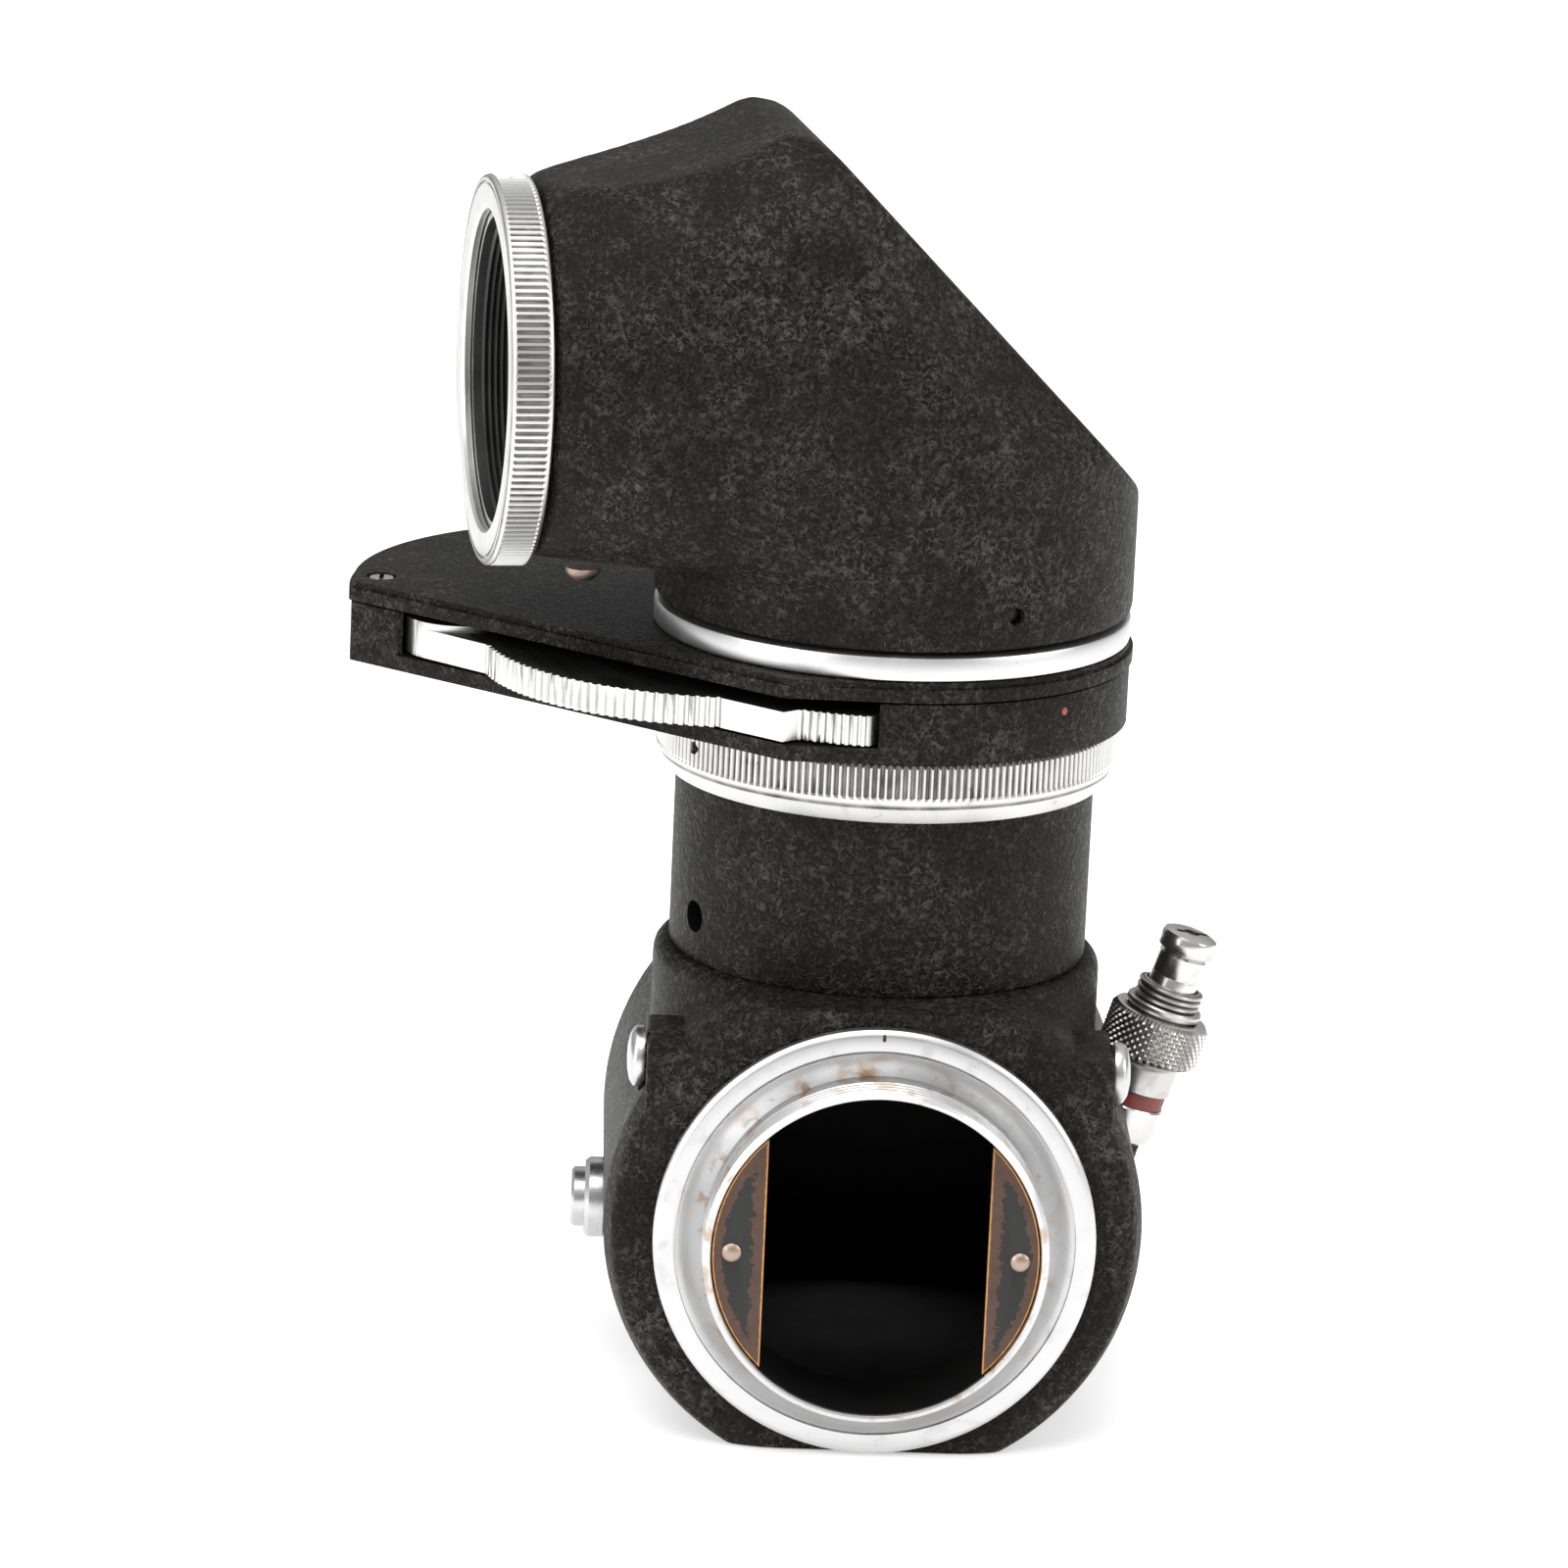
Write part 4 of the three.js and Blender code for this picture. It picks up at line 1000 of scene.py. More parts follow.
@dataclass
class Release:
    """The tilted release: sleeve, red ring, threads, knurled lock ring and plunger."""

    columns: int = 36
    knurl_depth: float = 0.42

    def build(self) -> None:
        """Builds and dresses the sub-assembly."""
        line, direction = joint_line("lock_ring_turn")
        self.place = along(line - direction * 7.6, direction)
        tilt = (0.0, math.atan2(direction.x, direction.z), 0.0)
        self.origin = tuple(line - direction * 7.6)
        self.bright = BrightMetal("release_plate", base=(0.62, 0.61, 0.60), roughness=0.25, centre=self.origin,
                                  turn=tilt, scuff=0.7)
        # The thread's grooves are coloured darker at the bottom: grime and painted shade.
        self.grimy_and_shaded = BrightMetal("release_thread", base=(0.52, 0.51, 0.49), roughness=0.3, centre=self.origin,
                                 turn=tilt, groove_radius=3.95, groove_depth=0.45, scuff=0.9, brass=0.35)
        # The knurl's cuts are coloured darker at the bottom too: grime and painted shade.
        self.knurled = BrightMetal("lock_ring_knurl", base=(0.62, 0.61, 0.59), roughness=0.27, centre=self.origin,
                                   turn=tilt, groove_radius=5.95, groove_depth=0.42, scuff=0.5)
        self.sleeves()
        self.lock_ring()
        self.plunger()

    def sleeves(self) -> None:
        """Base sleeve, red ring and threaded sleeve."""
        base = Workpiece.turned([
            (2.1, -5.4), (3.3, -5.4), (3.9, -5.0), (4.2, -4.2), (4.2, -1.1), (4.05, -0.9), (2.1, -0.9)], 72,
            self.place)
        base.handed_over("release_sleeve", "housing", "chrome", self.bright, ["release_base_sleeve"])
        red = Workpiece.turned([
            (2.1, -0.85), (3.95, -0.85), (3.97, 0.0), (3.95, 0.85), (2.1, 0.85)], 72, self.place)
        red.handed_over("red_ring", "housing", "red_paint", Finish.RED, ["red_index_ring"])
        threads = []
        for i in range(3):
            foot = 11.55 + i * 0.76
            threads += [(3.48, foot), (3.85, foot + 0.22), (3.92, foot + 0.38), (3.85, foot + 0.54)]
        sleeve = Workpiece.turned([
            (2.1, 0.9), (4.05, 0.9), (4.2, 1.05), (4.2, 3.9), (4.0, 4.5), (3.85, 4.7), (3.85, 10.55), (4.4, 10.6),
            (4.5, 10.75),
            (4.5, 11.3), (4.3, 11.5), *threads, (3.5, 13.75), (3.2, 13.85), (3.15, 13.7), (3.15, 6.2), (2.75, 6.2),
            (2.75, 1.3), (2.1, 1.3)], 96, self.place)
        sleeve.handed_over("release_thread", "housing", "steel", self.grimy_and_shaded, ["release_threaded_sleeve"])

    def lock_ring(self) -> None:
        """The diamond-knurled lock ring."""
        rim = 5.95
        low, high, pitch = 5.5, 9.75, 0.25
        rows = int((high - low) / pitch)
        side = [(rim, low + i * pitch) for i in range(rows + 1)]
        ring = Workpiece.turned([
            (4.2, 4.95), (5.2, 4.9), (5.45, 5.0), *side, (5.45, 10.2), (5.2, 10.3), (4.4, 10.3), (4.2, 10.1)],
            self.columns * 4)
        step = math.tau / (self.columns * 4)

        def level(point: Vector) -> int:
            """How far a point lies from the nearest crossing cut, in quarter pitches.

            Args:
                point: a point of the ring.

            Returns:
                0 in a cut, 1 beside it and 2 elsewhere.
            """
            if math.hypot(point.x, point.y) < rim - 0.05 or not low - 0.01 < point.z < high + 0.01:
                return 2
            column = round(math.atan2(point.y, point.x) / step)
            row = round((point.z - low) / pitch)
            return min(2 - abs((column + row) % 4 - 2), 2 - abs((column - row) % 4 - 2))

        deep = (rim - self.knurl_depth) / rim
        half = (rim - self.knurl_depth / 2) / rim
        cuts = {0: deep, 1: half}
        chosen = {key: set() for key in cuts}
        for vertex in ring.obj.data.vertices:
            if level(vertex.co) in cuts:
                chosen[level(vertex.co)].add(tuple(round(c, 4) for c in vertex.co))
        for key, factor in cuts.items():
            ring.scaled_where(lambda p, key=key: tuple(round(c, 4) for c in p) in chosen[key],
                              (factor, factor, 1))
        ring.placed(self.place)
        ring.handed_over("lock_knurl", "release_lock", "steel", self.knurled, ["release_lock_ring"], angle=20)

    def plunger(self) -> None:
        """The plunger with its slotted head and cable socket."""
        rod = Workpiece.turned([
            (0, -12.4), (1.6, -12.4), (1.6, 10.0), (2.8, 10.2), (2.85, 10.4), (2.85, 14.8), (2.8, 14.9),
            (2.85, 15.0), (2.85, 17.5), (2.55, 17.8), (2.65, 18.05), (3.25, 18.15), (3.35, 18.3), (3.35, 19.7),
            (3.15, 20.1), (2.6, 20.35), (0, 20.4)], 96, self.place)
        rod.cut(Workpiece.block((-2.2, -0.38, 19.4), (2.2, 0.38, 22),
                                self.place @ Matrix.Rotation(0.5, 4, "Z")),
                Workpiece.rod(0.95, 17.5, 22, self.place, 32)).bevelled(0.05)
        rod.handed_over("release_button", "release", "steel", self.bright, ["release_plunger"])


@dataclass
class CatchButton:
    """The push button inside the left collar."""

    body: str = "catch_button"

    def build(self) -> None:
        """Builds and dresses the button."""
        low, high = box_mm("mirror_catch_button")
        radius = (high.z - low.z) / 2
        place = along(Vector((0, 0, (low.z + high.z) / 2)), -X_AXIS)
        face, root = -low.x, -high.x
        cap = Workpiece.turned([
            (0, root), (1.25, root), (1.25, root + 8.0), (radius, root + 8.0), (radius, face - 0.35),
            (radius - 0.3, face - 0.05), (radius - 0.8, face), (0, face)], 72, place)
        cap.handed_over("catch_cap", self.body, "chrome", Finish.CHROME, ["mirror_catch_button"])


@dataclass
class FinderTube:
    """The enamelled tube with its side hole, and the coin-edged clamp ring round its top."""

    hole_radius: float = 1.85
    ribs: int = 192
    rib_depth: float = 0.36

    def build(self) -> None:
        """Builds and dresses the sub-assembly."""
        self.tube()
        self.clamp_ring()

    def tube(self) -> None:
        """The tube, seated in the casting's collar."""
        low, high = box_mm("screen_tube")
        radius, top = high.x, high.z
        seam = box_mm("mirror_box_casting")[1].z
        tube = Workpiece.turned([
            (21.6, low.z), (22.9, low.z), (22.9, seam - 0.5), (radius - 0.8, seam - 0.35), (radius - 0.1, seam + 0.15),
            (radius, seam + 0.6), (radius, top - 0.4), (radius - 0.4, top), (22.9, top), (22.9, 75.7),
            (21.6, 75.7)], 192)
        hole = along(Vector((0, 0, 57.0)), Vector((-21.4, -10.9, 0)))
        tube.cut(Workpiece.rod(self.hole_radius, 15, 30, hole, 48))

        def inner(point: Vector, normal: Vector) -> bool:
            """Whether a face lies inside the tube."""
            return math.hypot(point.x, point.y) < radius - 0.9

        tube.handed_over("finder_tube", "housing", "enamel", Finish.ENAMEL, ["screen_tube"], Finish.INSIDE, inner)

    def clamp_ring(self) -> None:
        """The chrome clamp ring: coin edge above, smooth cone below."""
        low, high = box_mm("finder_clamp_ring")
        radius, bottom, top = high.x, low.z, high.z
        cone_top = bottom + 2.6
        ring = coin_edged([
            (24.4, bottom), (24.85, bottom), (25.1, bottom + 0.1), (radius - 0.05, cone_top), (radius, cone_top + 0.3),
            (radius, cone_top + 0.65), (radius, top - 0.35), (radius - 0.35, top), (24.4, top)],
            self.ribs, self.rib_depth, (cone_top + 0.5, top - 0.2), radius - 0.1)
        pin = along(Vector((0, 0, 77.6)), Vector((-22.4, -14.2, 0)))
        ring.cut(Workpiece.rod(0.75, 20, 30, pin, 24))
        # The coin edge's cuts are coloured darker at the bottom: grime and painted shade.
        finish = BrightMetal("clamp_ring_plate", base=(0.64, 0.64, 0.63), roughness=0.36,
                             groove_radius=radius, groove_depth=0.34, brass=0.25)
        ring.handed_over("clamp_coin_edge", "clamp_ring", "chrome", finish, ["finder_clamp_ring"], angle=25)


@dataclass
class FinderBase:
    """The black plate that holds the swing arm: tray, lid, their screws, the index dot and the bearing ring."""

    body: str = "finder_base"
    lobe: tuple[float, float, float] = (-28.0, 14.5, 34.2)
    edge_start: tuple[float, float] = (-62.2, 12.3)
    edge_end: tuple[float, float] = (-12.4, -27.4)
    throat: float = 20.5
    tray_floor: float = 81.7

    def build(self) -> None:
        """Builds and dresses the sub-assembly."""
        pivot, _ = joint_line("arm_swing")
        self.pivot = (pivot.x, pivot.y)
        self.tray()
        self.lid()
        self.fastenings()
        self.bearing()

    def plan(self, inset: float, low: float, high: float) -> Workpiece:
        """The plate's plan, as one upright slab.

        Args:
            inset: how far the plan is drawn in.
            low: height of the slab's underside.
            high: height of its top.

        Returns:
            The slab.
        """
        disc_radius = box_mm("swing_housing_tray")[1].x
        x, y, radius = self.lobe
        corners = [Workpiece.rod(disc_radius - inset, low, high, Matrix(), 200),
                   Workpiece.rod(radius - inset, low, high, Matrix.Translation((x, y, 0)), 200),
                   Workpiece.block((self.edge_end[0], self.edge_end[1], low), (-5.0, -20.0, high))]
        slab = Workpiece.hull(corners)
        run = (Vector((*self.edge_end, 0)) - Vector((*self.edge_start, 0))).normalized()
        outward = Vector((run.y, -run.x, 0))
        on_edge = Vector((*self.edge_start, 0)) - outward * inset
        slab.bisected(on_edge, outward)
        return slab

    def pocket(self) -> list[Workpiece]:
        """Cutters for the arm's pocket and its front slot.

        Returns:
            The cutters.
        """
        low, high = self.tray_floor, 90.0
        hub = 6.9
        reach = 60.9
        x, y = self.pivot
        start, end = math.radians(-41), math.radians(7)
        fan = [(x, y + hub), (x, y)]
        fan += [(x + reach * math.cos(a), y + reach * math.sin(a))
                for a in (start + (end - start) * i / 40 for i in range(41))]
        front = [(-57.9, 7.4), (-57.9, -10), (-16, -40), (-2.4, -40), (-2.4, -24), (x, y)]
        return [Workpiece.slab(fan, low, high), Workpiece.slab(front, low, high),
                Workpiece.rod(hub, low, high, Matrix.Translation((x, y, 0)), 64)]

    def tray(self) -> None:
        """The lower half with the arm's pocket."""
        low, high = box_mm("swing_housing_tray")
        slab = self.plan(0.0, low.z, high.z).bevelled(0.55, 3, 50)
        dot_low, dot_high = box_mm("index_dot")
        centre = (dot_low + dot_high) / 2
        dot_axis = along(Vector((0, 0, centre.z)), Vector((centre.x, centre.y, 0)))
        slab.cut(Workpiece.rod(self.throat, low.z - 2, high.z + 2), *self.pocket(),
                 Workpiece.rod(0.5, 25.8, 30, dot_axis, 24))

        def inner(point: Vector, normal: Vector) -> bool:
            """Whether a face belongs to the pocket or the throat."""
            deep = math.hypot(point.x, point.y) < self.throat + 0.1 and abs(normal.z) < 0.5
            return deep or (abs(normal.z) > 0.9 and abs(point.z - self.tray_floor) < 0.1)

        slab.handed_over("plate_tray", self.body, "enamel", Finish.ENAMEL, ["swing_housing_tray"],
                         Finish.INSIDE, inner)
        dot = Workpiece.turned([(0, 26.2), (0.45, 26.2), (0.45, 27.42), (0.3, 27.5), (0, 27.52)], 24, dot_axis)
        dot.handed_over("red_dot", self.body, "red_paint", Finish.DOT, ["index_dot"])

    def lid(self) -> None:
        """The upper half, its top edge well rounded."""
        low, high = box_mm("swing_housing_lid")
        lower = self.plan(-0.3, low.z, high.z - 0.75).bevelled(0.25, 2, 50)
        upper = self.plan(0.15, low.z + 0.5, high.z).bevelled(0.7, 4, 50)
        lower.joined(upper)
        screws = [box_mm(f"lid_screw_{i}") for i in range(1, 4)]
        sinks = [Workpiece.rod(1.8, high.z - 1.1, high.z + 2,
                               Matrix.Translation(((a.x + b.x) / 2, (a.y + b.y) / 2, 0)), 40) for a, b in screws]
        lower.cut(Workpiece.rod(self.throat, low.z - 2, high.z + 2), *sinks)

        def inner(point: Vector, normal: Vector) -> bool:
            """Whether a face belongs to the throat or the underside."""
            deep = math.hypot(point.x, point.y) < self.throat + 0.1 and abs(normal.z) < 0.5
            return deep or normal.z < -0.9

        lower.handed_over("plate_lid", self.body, "enamel", Finish.ENAMEL, ["swing_housing_lid"],
                          Finish.INSIDE, inner)

    def fastenings(self) -> None:
        """The slotted lid screws."""
        for i in range(1, 4):
            low, high = box_mm(f"lid_screw_{i}")
            spot = Matrix.Translation(((low.x + high.x) / 2, (low.y + high.y) / 2, 0))
            top = high.z
            screw = Workpiece.turned([
                (0, low.z), (0.9, low.z), (0.9, top - 0.8), (1.55, top - 0.8), (1.55, top - 0.25),
                (1.35, top), (0, top)], 40, spot)
            screw.cut(Workpiece.block((-3, -0.26, top - 0.45), (3, 0.26, top + 1),
                                      spot @ Matrix.Rotation(1.55, 4, "Z")))
            screw.handed_over(f"plate_screw_{i}", self.body, "steel", Finish.CHROME, [f"lid_screw_{i}"])

    def bearing(self) -> None:
        """The smooth chrome ring that the prism head turns on."""
        low, high = box_mm("bearing_ring")
        radius = high.x
        ring = Workpiece.turned([
            (22.6, low.z), (radius - 0.35, low.z), (radius - 0.08, low.z + 0.15), (radius, low.z + 0.45),
            (radius, high.z - 0.4), (radius - 0.12, high.z - 0.12), (radius - 0.4, high.z), (22.6, high.z)], 192)
        finish = BrightMetal("bearing_plate", base=(0.66, 0.66, 0.66), roughness=0.38, scuff=0.25)
        ring.handed_over("bearing_chrome", self.body, "chrome", finish, ["bearing_ring"])


@dataclass
class SwingArm:
    """The arm with its ribbed grip, ribbed tab and small lens."""

    body: str = "swing_arm"
    hub: float = 6.2
    sagitta: float = 5.8
    grip_ribs: int = 31
    tab_ribs: int = 9
    rib_depth: float = 0.42
    reach: float = 60.2

    def arc(self, centre: Vector, radius: float, start: float, end: float, count: int) -> list[Vector]:
        """Points on an arc in plan.

        Args:
            centre: the arc's centre.
            radius: its radius.
            start: the heading it starts at.
            end: the heading it ends at.
            count: steps along it.

        Returns:
            The points.
        """
        angles = [start + (end - start) * i / count for i in range(count + 1)]
        return [Vector((centre.x + radius * math.cos(a), centre.y + radius * math.sin(a))) for a in angles]

    def ribbed(self, centre: Vector, radius: float, start: float, end: float, ribs: int) -> list[Vector]:
        """Points on an arc that is cut into ribs.

        Args:
            centre: the arc's centre.
            radius: radius over the ribs.
            start: the heading it starts at.
            end: the heading it ends at.
            ribs: how many ribs.

        Returns:
            The points.
        """
        points = []
        width = (end - start) / ribs
        for i in range(ribs):
            for share, drop in ((0.08, 0.0), (0.52, 0.0), (0.66, self.rib_depth), (0.94, self.rib_depth)):
                angle = start + width * (i + share)
                r = radius - drop
                points.append(Vector((centre.x + r * math.cos(angle), centre.y + r * math.sin(angle))))
        return points

    def plan(self, base: FinderBase) -> list[tuple[float, float]]:
        """The arm's outline, anticlockwise from the front of its hub.

        Args:
            base: the plate that the arm swings in.

        Returns:
            (x, y) points in order.
        """
        start = Vector(base.edge_start)
        run = (Vector(base.edge_end) - start).normalized()
        outward = Vector((run.y, -run.x))
        pivot = Vector(base.pivot)

        def on_edge(distance: float, proud: float = 0.0) -> Vector:
            """A point along the plate's straight edge."""
            return start + run * distance + outward * proud

        def angle(point: Vector, middle: Vector) -> float:
            """The heading of a point seen from a middle."""
            return math.atan2(point.y - middle.y, point.x - middle.x)

        grip_start, grip_end = on_edge(20.3), on_edge(54.3)
        half = (grip_end - grip_start).length / 2
        radius = (half ** 2 + self.sagitta ** 2) / (2 * self.sagitta)
        centre = on_edge(37.3, self.sagitta - radius)
        origin = Vector((0, 0))
        facing = math.atan2(outward.y, outward.x)
        disc = box_mm("swing_housing_tray")[1].x + 0.6
        tab_start, tab_end = math.radians(-113.5), math.radians(-96.6)
        tip = Vector((disc * math.cos(tab_end), disc * math.sin(tab_end)))
        lens_angle = math.atan2(-pivot.y, -pivot.x)
        points = [pivot + outward * self.hub]
        points += self.ribbed(centre, radius, angle(grip_start, centre), angle(grip_end, centre), self.grip_ribs)
        points += [on_edge(54.5), on_edge(63.2)]
        points += self.ribbed(origin, disc, tab_start, tab_end, self.tab_ribs)
        points += self.arc(pivot, self.reach, angle(tip, pivot), lens_angle, 24)
        points += self.arc(origin, 9.5, lens_angle, lens_angle + math.pi * 0.62, 24)[1:]
        points += self.arc(pivot, self.hub, facing + math.pi * 1.22, facing + math.tau, 32)[:-1]
        return [(p.x, p.y) for p in points]

    def build(self, base: FinderBase) -> None:
        """Builds and dresses the arm.

        Args:
            base: the plate that the arm swings in.
        """
        low, high = box_mm("swing_arm")
        blade_top = high.z - 0.8
        arm = Workpiece.slab(self.plan(base), low.z, blade_top)
        pivot = Matrix.Translation((*base.pivot, 0))
        arm.joined(Workpiece.rod(self.hub, low.z, high.z, pivot, 96))
        arm.cut(Workpiece.rod(1.5, 70, 95, pivot, 32), Workpiece.rod(7.8, 70, 95, Matrix(), 96))
        arm.bevelled(0.07, 2, 40)
        finish = BrightMetal("arm_plate", base=(0.66, 0.66, 0.65), roughness=0.3, scuff=0.5, brass=0.2)
        arm.handed_over("arm_blade", self.body, "steel", finish, ["swing_arm"], Finish.ARM_TOP,
                        lambda point, normal: abs(normal.z) > 0.9, angle=28)
        ring_low, ring_high = box_mm("arm_lens_ring")
        outer = ring_high.x
        ring = Workpiece.turned([
            (outer - 1.0, ring_low.z), (outer, ring_low.z), (outer, ring_high.z - 0.2), (outer - 0.2, ring_high.z),
            (outer - 1.0, ring_high.z)], 96)
        ring.handed_over("arm_lens_cell", self.body, "black_metal", Finish.BLACKENED, ["arm_lens_ring"])
        lens_low, lens_high = box_mm("arm_lens")
        lens = Workpiece.turned(lens_section(lens_high.x, lens_low.z, lens_high.z, 1.1), 96)
        lens.handed_over("arm_magnifier", self.body, "glass", Finish.GLASS, ["arm_lens"], angle=50)


def lens_section(radius: float, low: float, high: float, edge: float) -> Profile:
    """The section of a lens that bulges on both sides.

    Args:
        radius: the lens's radius.
        low: height of its lower vertex.
        high: height of its upper vertex.
        edge: thickness at the edge.

    Returns:
        The closed section.
    """
    bulge = (high - low - edge) / 2
    lower = [(radius * i / 10, low + bulge * (i / 10) ** 2) for i in range(11)]
    upper = [(radius * i / 10, high - bulge * (i / 10) ** 2) for i in range(10, -1, -1)]
    return lower + upper


@dataclass
class PrismHead:
    """The turning prism head with its neck, and the eyepiece."""

    body: str = "prism_head"
    shoulder: float = 107.5
    neck_radius: float = 21.9
    neck_end: float = 43.1
    bore: float = 19.9
    ribs: int = 158
    rib_depth: float = 0.34
    skin: float = 0.6
    rounding: int = 12
    eye: Vector = field(default_factory=Vector)

    def build(self) -> None:
        """Builds and dresses the sub-assembly."""
        point, direction = joint_line("focus_turn")
        self.eye_height = point.z
        self.eye = direction
        self.turn = Matrix.Rotation(math.atan2(direction.y, direction.x), 4, "Z")
        self.sight = along(Vector((0, 0, point.z)), direction)
        self.housing()
        self.small_parts()
        self.focus_ring()
        self.cell()

    def section(self, u: float, half: float, low: float, high: float, count: int = 96) -> Workpiece:
        """An upright oval section of the head at a distance along the sight line.

        Args:
            u: the distance.
            half: half its width.
            low: height of its lowest point.
            high: height of its highest point.
            count: points round it.

        Returns:
            The section.
        """
        middle, rise = (low + high) / 2, (high - low) / 2
        return Workpiece.ring_of([
            Vector((u, half * math.cos(math.tau * i / count), middle + rise * math.sin(math.tau * i / count)))
            for i in range(count)])

    def housing(self) -> None:
        """The enamelled head: column, neck, sloping back and the soft facets beside it."""
        low, high = box_mm("prism_housing")
        radius, bottom, peak = high.x, low.z, high.z
        eye = self.eye_height
        neck = Workpiece.hull([
            self.section(self.neck_end, self.neck_radius, eye - 20.8, eye + self.neck_radius),
            self.section(self.neck_end - 3, self.neck_radius, eye - 20.8, eye + self.neck_radius),
            self.section(18, 23.6, 108.0, peak + 1.2), self.section(4, 26.0, 108.0, peak + 0.8),
            Workpiece.rod(radius, 99.5, 122.0, Matrix(), 160)])
        column = Workpiece.rod(radius, bottom, 101.0, Matrix(), 160)
        column.joined(neck)
        side = [(-radius - 1, bottom - 1), (-radius - 1, self.shoulder - 2.2), (10.4, 145.0)]
        side += self.curve((10.4, 145.0), (13.6, peak - 1.6), (17.6, peak - 2.2), 10)
        neck_top = (self.neck_end + 1, eye + self.neck_radius - 0.2)
        side += self.curve((17.6, peak - 2.2), (26.4, 142.4), neck_top, 14)
        side += [(self.neck_end + 1, bottom - 1)]
        across = Matrix.Rotation(math.pi / 2, 4, "X")
        column.crossed(Workpiece.slab(side, -45, 45, across))
        for wing in (-1, 1):
            facet = along(Vector((-8.0, wing * 18.4, self.shoulder + 18.6)), Vector((-1.0, wing * 1.25, 1.0)))
            column.cut(Workpiece.block((-90, -90, 0), (90, 90, 60), facet))
        column.cast(self.skin, self.rounding)
        column.bisected(Vector((0, 0, bottom)), -Z_AXIS).bisected(Vector((self.neck_end, 0, 0)), X_AXIS)

        hollow = [(-20.0, 95.0), (-20.0, 108.6), (10.4, 139.0), (18.5, 139.0), (21.5, 95.0)]
        cavity = Workpiece.slab(hollow, -17.2, 17.2, across)
        cavity.crossed(Workpiece.rod(24.0, 90, 160))
        sight = along(Vector((0, 0, eye)), X_AXIS)
        pin = along(Vector((0, 0, 96.6)), Vector((-8.8, 25.7, 0)))
        column.cut(cavity, Workpiece.rod(22.5, bottom - 3, 97.0), Workpiece.rod(self.bore, 14, 50, sight),
                   Workpiece.rod(1.0, 21, 32, pin, 32))

        upright = self.turn.inverted()

        def inner(point: Vector, normal: Vector) -> bool:
            """Whether a face lies inside the head: in the neck's bore, the prism chamber or the seat.

            Args:
                point: the face's centre, on the turned head.
                normal: the face's normal, not used.

            Returns:
                True for an inner face.
            """
            point = upright @ point
            if math.hypot(point.y, point.z - eye) < self.bore + 0.1 and point.x > 14:
                return True
            under = point.z < min(141.0, self.shoulder - 4.2 + (point.x + radius + 1) * 1.033)
            reach = math.hypot(point.x, point.y)
            in_chamber = reach < 23.7 and under and abs(point.y) < 18.2
            return in_chamber or (point.z < 97.5 and reach < 23.0)

        column.placed(self.turn)
        column.handed_over("prism_shell", self.body, "enamel", Finish.ENAMEL, ["prism_housing"],
                           Finish.INSIDE, inner)

    def curve(self, start: tuple, bend: tuple, end: tuple, count: int) -> list[tuple[float, float]]:
        """Points after the start of a bend that leans towards a point.

        Args:
            start: where the bend starts.
            bend: the point it leans towards.
            end: where it ends.
            count: steps along it.

        Returns:
            The points.
        """
        points = []
        for i in range(1, count + 1):
            t = i / count
            points.append(tuple((1 - t) ** 2 * a + 2 * t * (1 - t) * b + t * t * c
                                for a, b, c in zip(start, bend, end)))
        return points

    def small_parts(self) -> None:
        """The round-headed screw under the neck."""
        low, high = box_mm("neck_screw")
        spot = Matrix.Translation(((low.x + high.x) / 2, (low.y + high.y) / 2, high.z))
        screw = Workpiece.turned([
            (0, 0), (2.05, 0), (2.0, -0.5), (1.7, -1.0), (1.1, -1.45), (0, -1.58)], 48, spot)
        screw.cut(Workpiece.block((-3, -0.25, -2.5), (3, 0.25, -1.0), spot))
        screw.handed_over("neck_round_screw", self.body, "steel", Finish.RIVET, ["neck_screw"])

    def focus_ring(self) -> None:
        """The coin-edged eyepiece ring with its smooth face."""
        rim, foot, face = 22.0, 43.4, 48.2
        ring = coin_edged([
            (20.0, foot), (rim - 0.4, foot), (rim - 0.1, foot + 0.2), (rim, foot + 0.45), (rim, foot + 0.7),
            (rim, face - 0.7), (rim, face - 0.5), (rim - 0.1, face - 0.25), (rim - 0.3, face - 0.05),
            (rim - 0.75, face), (rim - 0.8, face - 0.35), (rim - 1.05, face - 0.35), (rim - 1.1, face),
            (19.0, face), (18.35, face - 0.1), (18.1, face - 0.45), (18.1, face - 1.1),
            (20.0, face - 1.1)], self.ribs, self.rib_depth, (foot + 0.55, face - 0.6), rim - 0.02)
        ring.placed(self.sight)
        heading = math.atan2(self.eye.y, self.eye.x)
        # The coin edge's cuts are coloured darker at the bottom: grime and painted shade.
        finish = BrightMetal("eyepiece_plate", base=(0.64, 0.64, 0.63), roughness=0.34,
                             centre=(0, 0, self.eye_height), turn=(0.0, math.pi / 2, heading),
                             groove_radius=rim, groove_depth=0.32)
        ring.handed_over("eyepiece_coin_edge", "focus_ring", "chrome", finish, ["eyepiece_focus_ring"], angle=25)

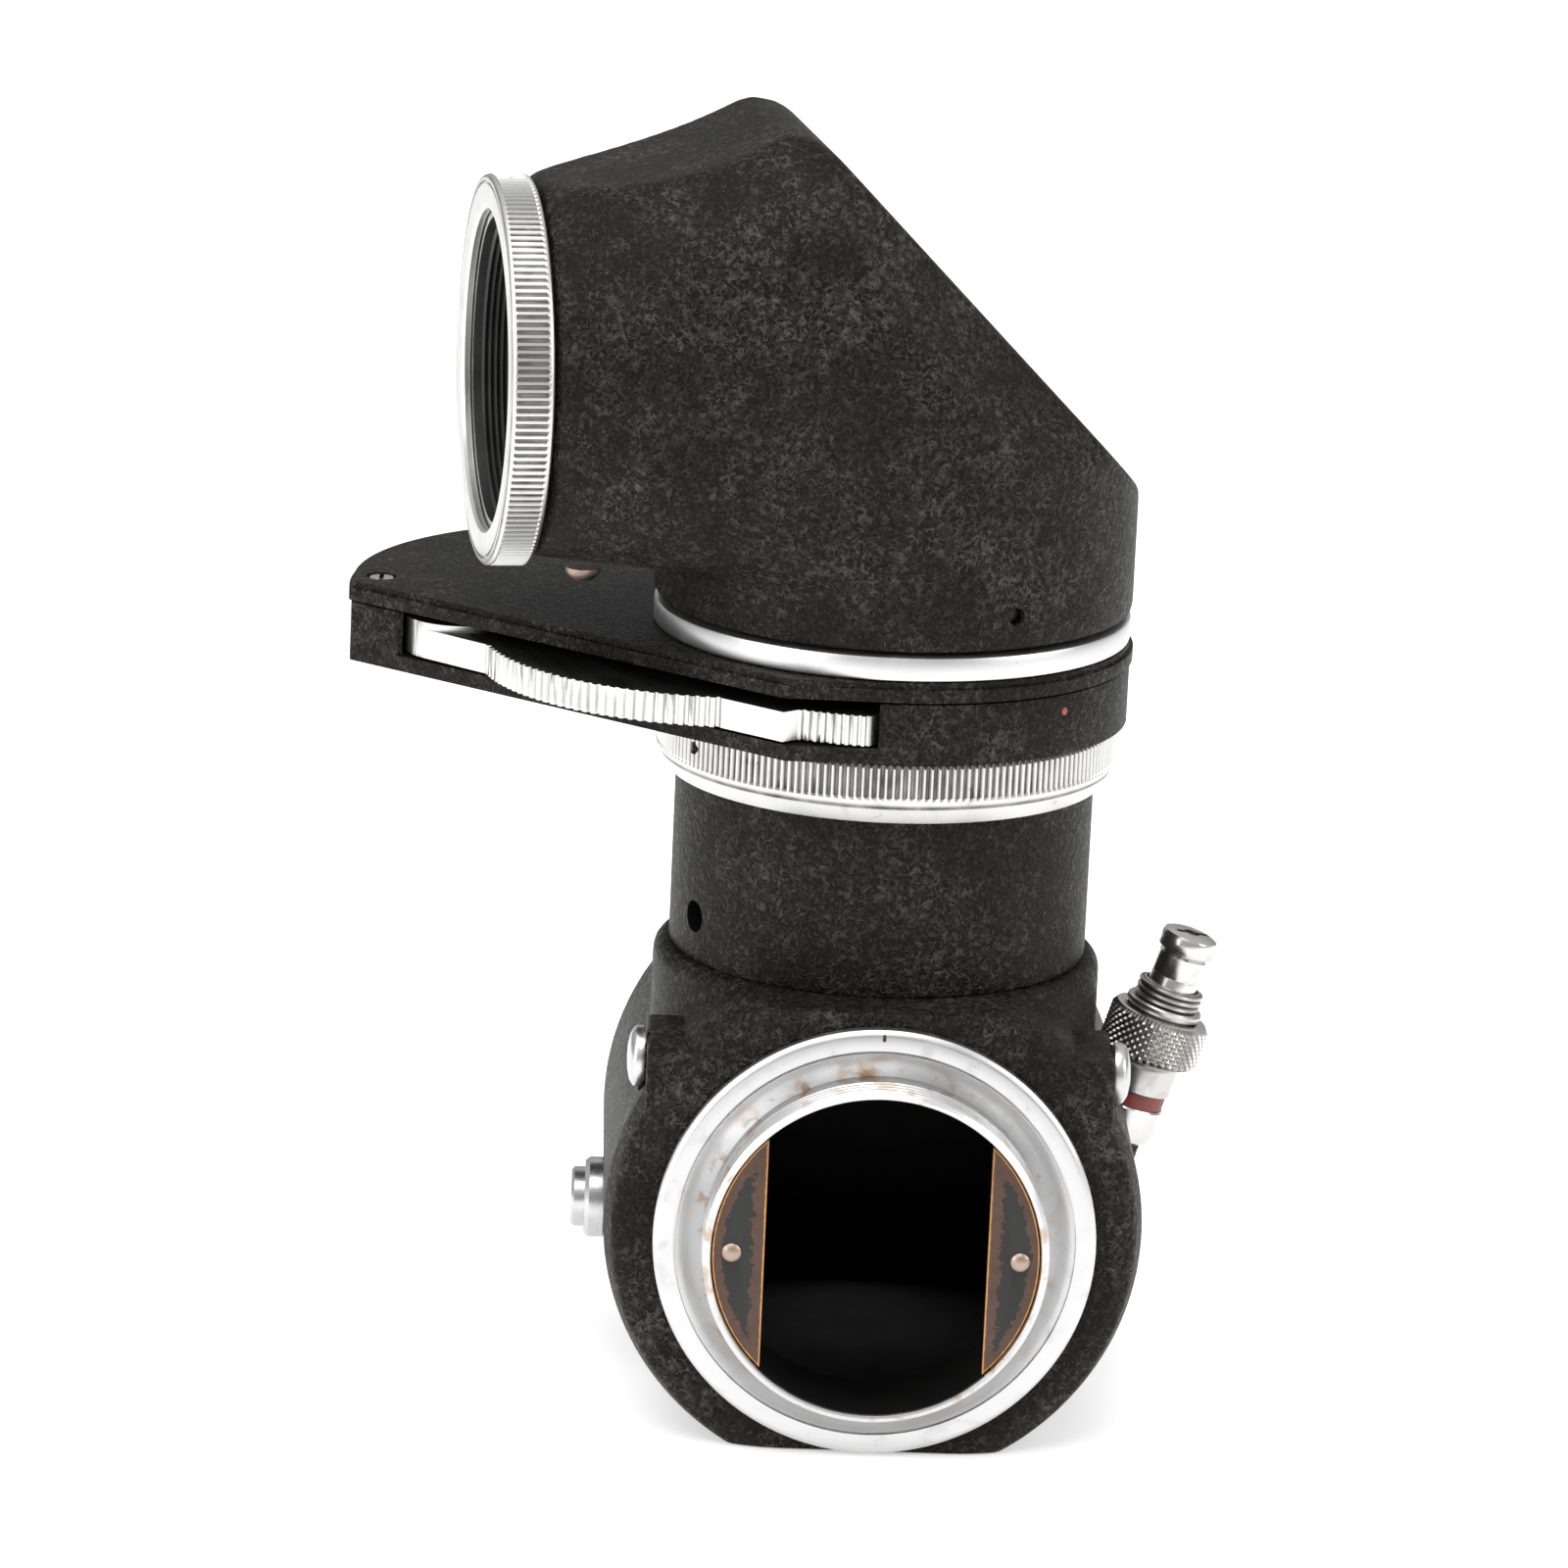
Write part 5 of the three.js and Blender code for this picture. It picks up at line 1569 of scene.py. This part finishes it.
    def cell(self) -> None:
        """The sliding lens barrel, blackened and threaded inside, and its lens."""
        threads = []
        for i in range(12):
            foot = 45.9 - i * 0.7
            threads += [(17.25, foot), (16.95, foot - 0.28)]
        barrel = Workpiece.turned([
            (18.0, 24.0), (19.5, 24.0), (19.5, 46.9), (17.3, 46.9), *threads, (17.25, 37.0), (16.6, 36.6),
            (16.6, 36.0), (18.0, 36.0)], 144, self.sight)
        face = BrightMetal("eyepiece_tube_face", base=(0.62, 0.62, 0.61), roughness=0.36,
                           centre=(0, 0, self.eye_height),
                           turn=(0.0, math.pi / 2, math.atan2(self.eye.y, self.eye.x)))
        barrel.handed_over("eyepiece_tube", "eyepiece_cell", "black_metal", Finish.BLACKENED, ["eyepiece_barrel"],
                           face, lambda point, normal: point.dot(self.eye) > 46.8)
        lens = Workpiece.turned(lens_section(17.6, 29.0, 35.6, 2.3), 128, self.sight)
        lens.handed_over("eyepiece_glass", "eyepiece_cell", "glass", Finish.GLASS, ["eye_lens"], angle=50)


# ------------------------------------------------------------------ CAD pieces that stay
SLOT_FINISHES = {
    "enamel": Finish.ENAMEL, "chrome": Finish.CHROME, "steel": Finish.STEEL, "black_metal": Finish.INSIDE,
    "worn_brass": Finish.MASK, "glass": Finish.GLASS, "mirror": Finish.MIRROR, "red_paint": Finish.RED,
    "felt": Finish.FELT,
}


NODE_FINISHES = {"ground_glass": Finish.GROUND, "head_set_screw": Finish.BLACKENED}


def dress_cad_nodes() -> None:
    """Gives every CAD node a finish by its slot, unless it has one of its own."""
    for part in frame["record"]["subparts"]:
        obj = frame["nodes"][part["node"]]
        finish = NODE_FINISHES.get(part["node"], SLOT_FINISHES[part["material_slot"]])
        obj.data.materials.clear()
        obj.data.materials.append(material(finish))


# ------------------------------------------------------------------ studio
@dataclass
class Studio:
    """Pale floor, soft lights and the camera."""

    target: tuple[float, float, float] = (-11.5, 0.0, 70.1)
    distance: float = 902.0
    azimuth: float = -1.85
    elevation: float = 14.63
    roll: float = -2.58
    focal_length: float = 180.0
    horizon: Colour = (0.27, 0.27, 0.27)
    zenith: Colour = (0.72, 0.72, 0.72)

    def build(self) -> None:
        """Builds the floor, the world, the lights and the camera."""
        self.floor()
        self.world()
        self.lights()
        self.camera()

    def floor(self) -> None:
        """A plain pale floor under the base."""
        bpy.ops.object.select_all(action="DESELECT")
        bpy.ops.mesh.primitive_plane_add(size=12.0, location=(0, 0, -0.0002))
        floor = bpy.context.object
        floor.name = "studio_floor"
        sheet = Sheet("floor_paper")
        sheet.set(Base_Color=(0.90, 0.90, 0.90), Roughness=0.9, Emission_Color=(1.0, 1.0, 1.0),
                  Emission_Strength=0.42)
        floor.data.materials.append(sheet.material)

    def world(self) -> None:
        """An even, soft surrounding light."""
        sheet = Sheet("soft_surround", world=True)
        coordinates = sheet.node("ShaderNodeTexCoord", {}, {})
        _, _, height = sheet.split(Wire(sheet, coordinates.outputs["Generated"]))
        sheet.set(Color=sheet.mix(height.ramp(-0.1, 0.75), self.horizon, self.zenith), Strength=1.0)
        bpy.context.scene.world = sheet.material
        bpy.context.scene.view_settings.view_transform = "Standard"

    def lights(self) -> None:
        """Broad soft boxes above, at the left and at the right."""
        boxes = [("top_box", (-0.15, -0.25, 0.95), 0.9, 6.5), ("left_box", (-0.95, -0.65, 0.45), 0.7, 6.0),
                 ("right_box", (0.95, -0.35, 0.55), 0.6, 4.5)]
        for name, place, size, power in boxes:
            bpy.ops.object.light_add(type="AREA", location=place)
            light = bpy.context.object
            light.name = name
            light.data.size = size
            light.data.energy = power
            aim = Vector((0, 0, 0.07)) - Vector(place)
            light.rotation_euler = aim.to_track_quat("-Z", "Y").to_euler()

    def camera(self) -> None:
        """The camera, a little above the object and leaning slightly."""
        lift, swing, lean = (math.radians(a) for a in (self.elevation, self.azimuth, self.roll))
        back = Vector((math.sin(swing) * math.cos(lift), -math.cos(swing) * math.cos(lift), math.sin(lift)))
        level = (-back).cross(Z_AXIS).normalized()
        upright = level.cross(-back)
        right = math.cos(lean) * level - math.sin(lean) * upright
        up = math.sin(lean) * level + math.cos(lean) * upright
        data = bpy.data.cameras.new("main_camera")
        data.lens = self.focal_length
        data.sensor_width = 36.0
        camera = bpy.data.objects.new("main_camera", data)
        bpy.context.collection.objects.link(camera)
        turn = Matrix((right, up, back)).transposed().to_4x4()
        place = (Vector(self.target) + back * self.distance) * MM
        camera.matrix_world = Matrix.Translation(place) @ turn
        bpy.context.scene.camera = camera


def main() -> None:
    """Builds the studio and every sub-assembly."""
    logging.basicConfig(level=logging.INFO, format="%(message)s")
    Studio().build()
    dress_cad_nodes()
    MirrorBox().build()
    CameraMount().build()
    Release().build()
    CatchButton().build()
    FinderTube().build()
    base = FinderBase()
    base.build()
    SwingArm().build(base)
    PrismHead().build()


if __name__ == "__main__":
    main()
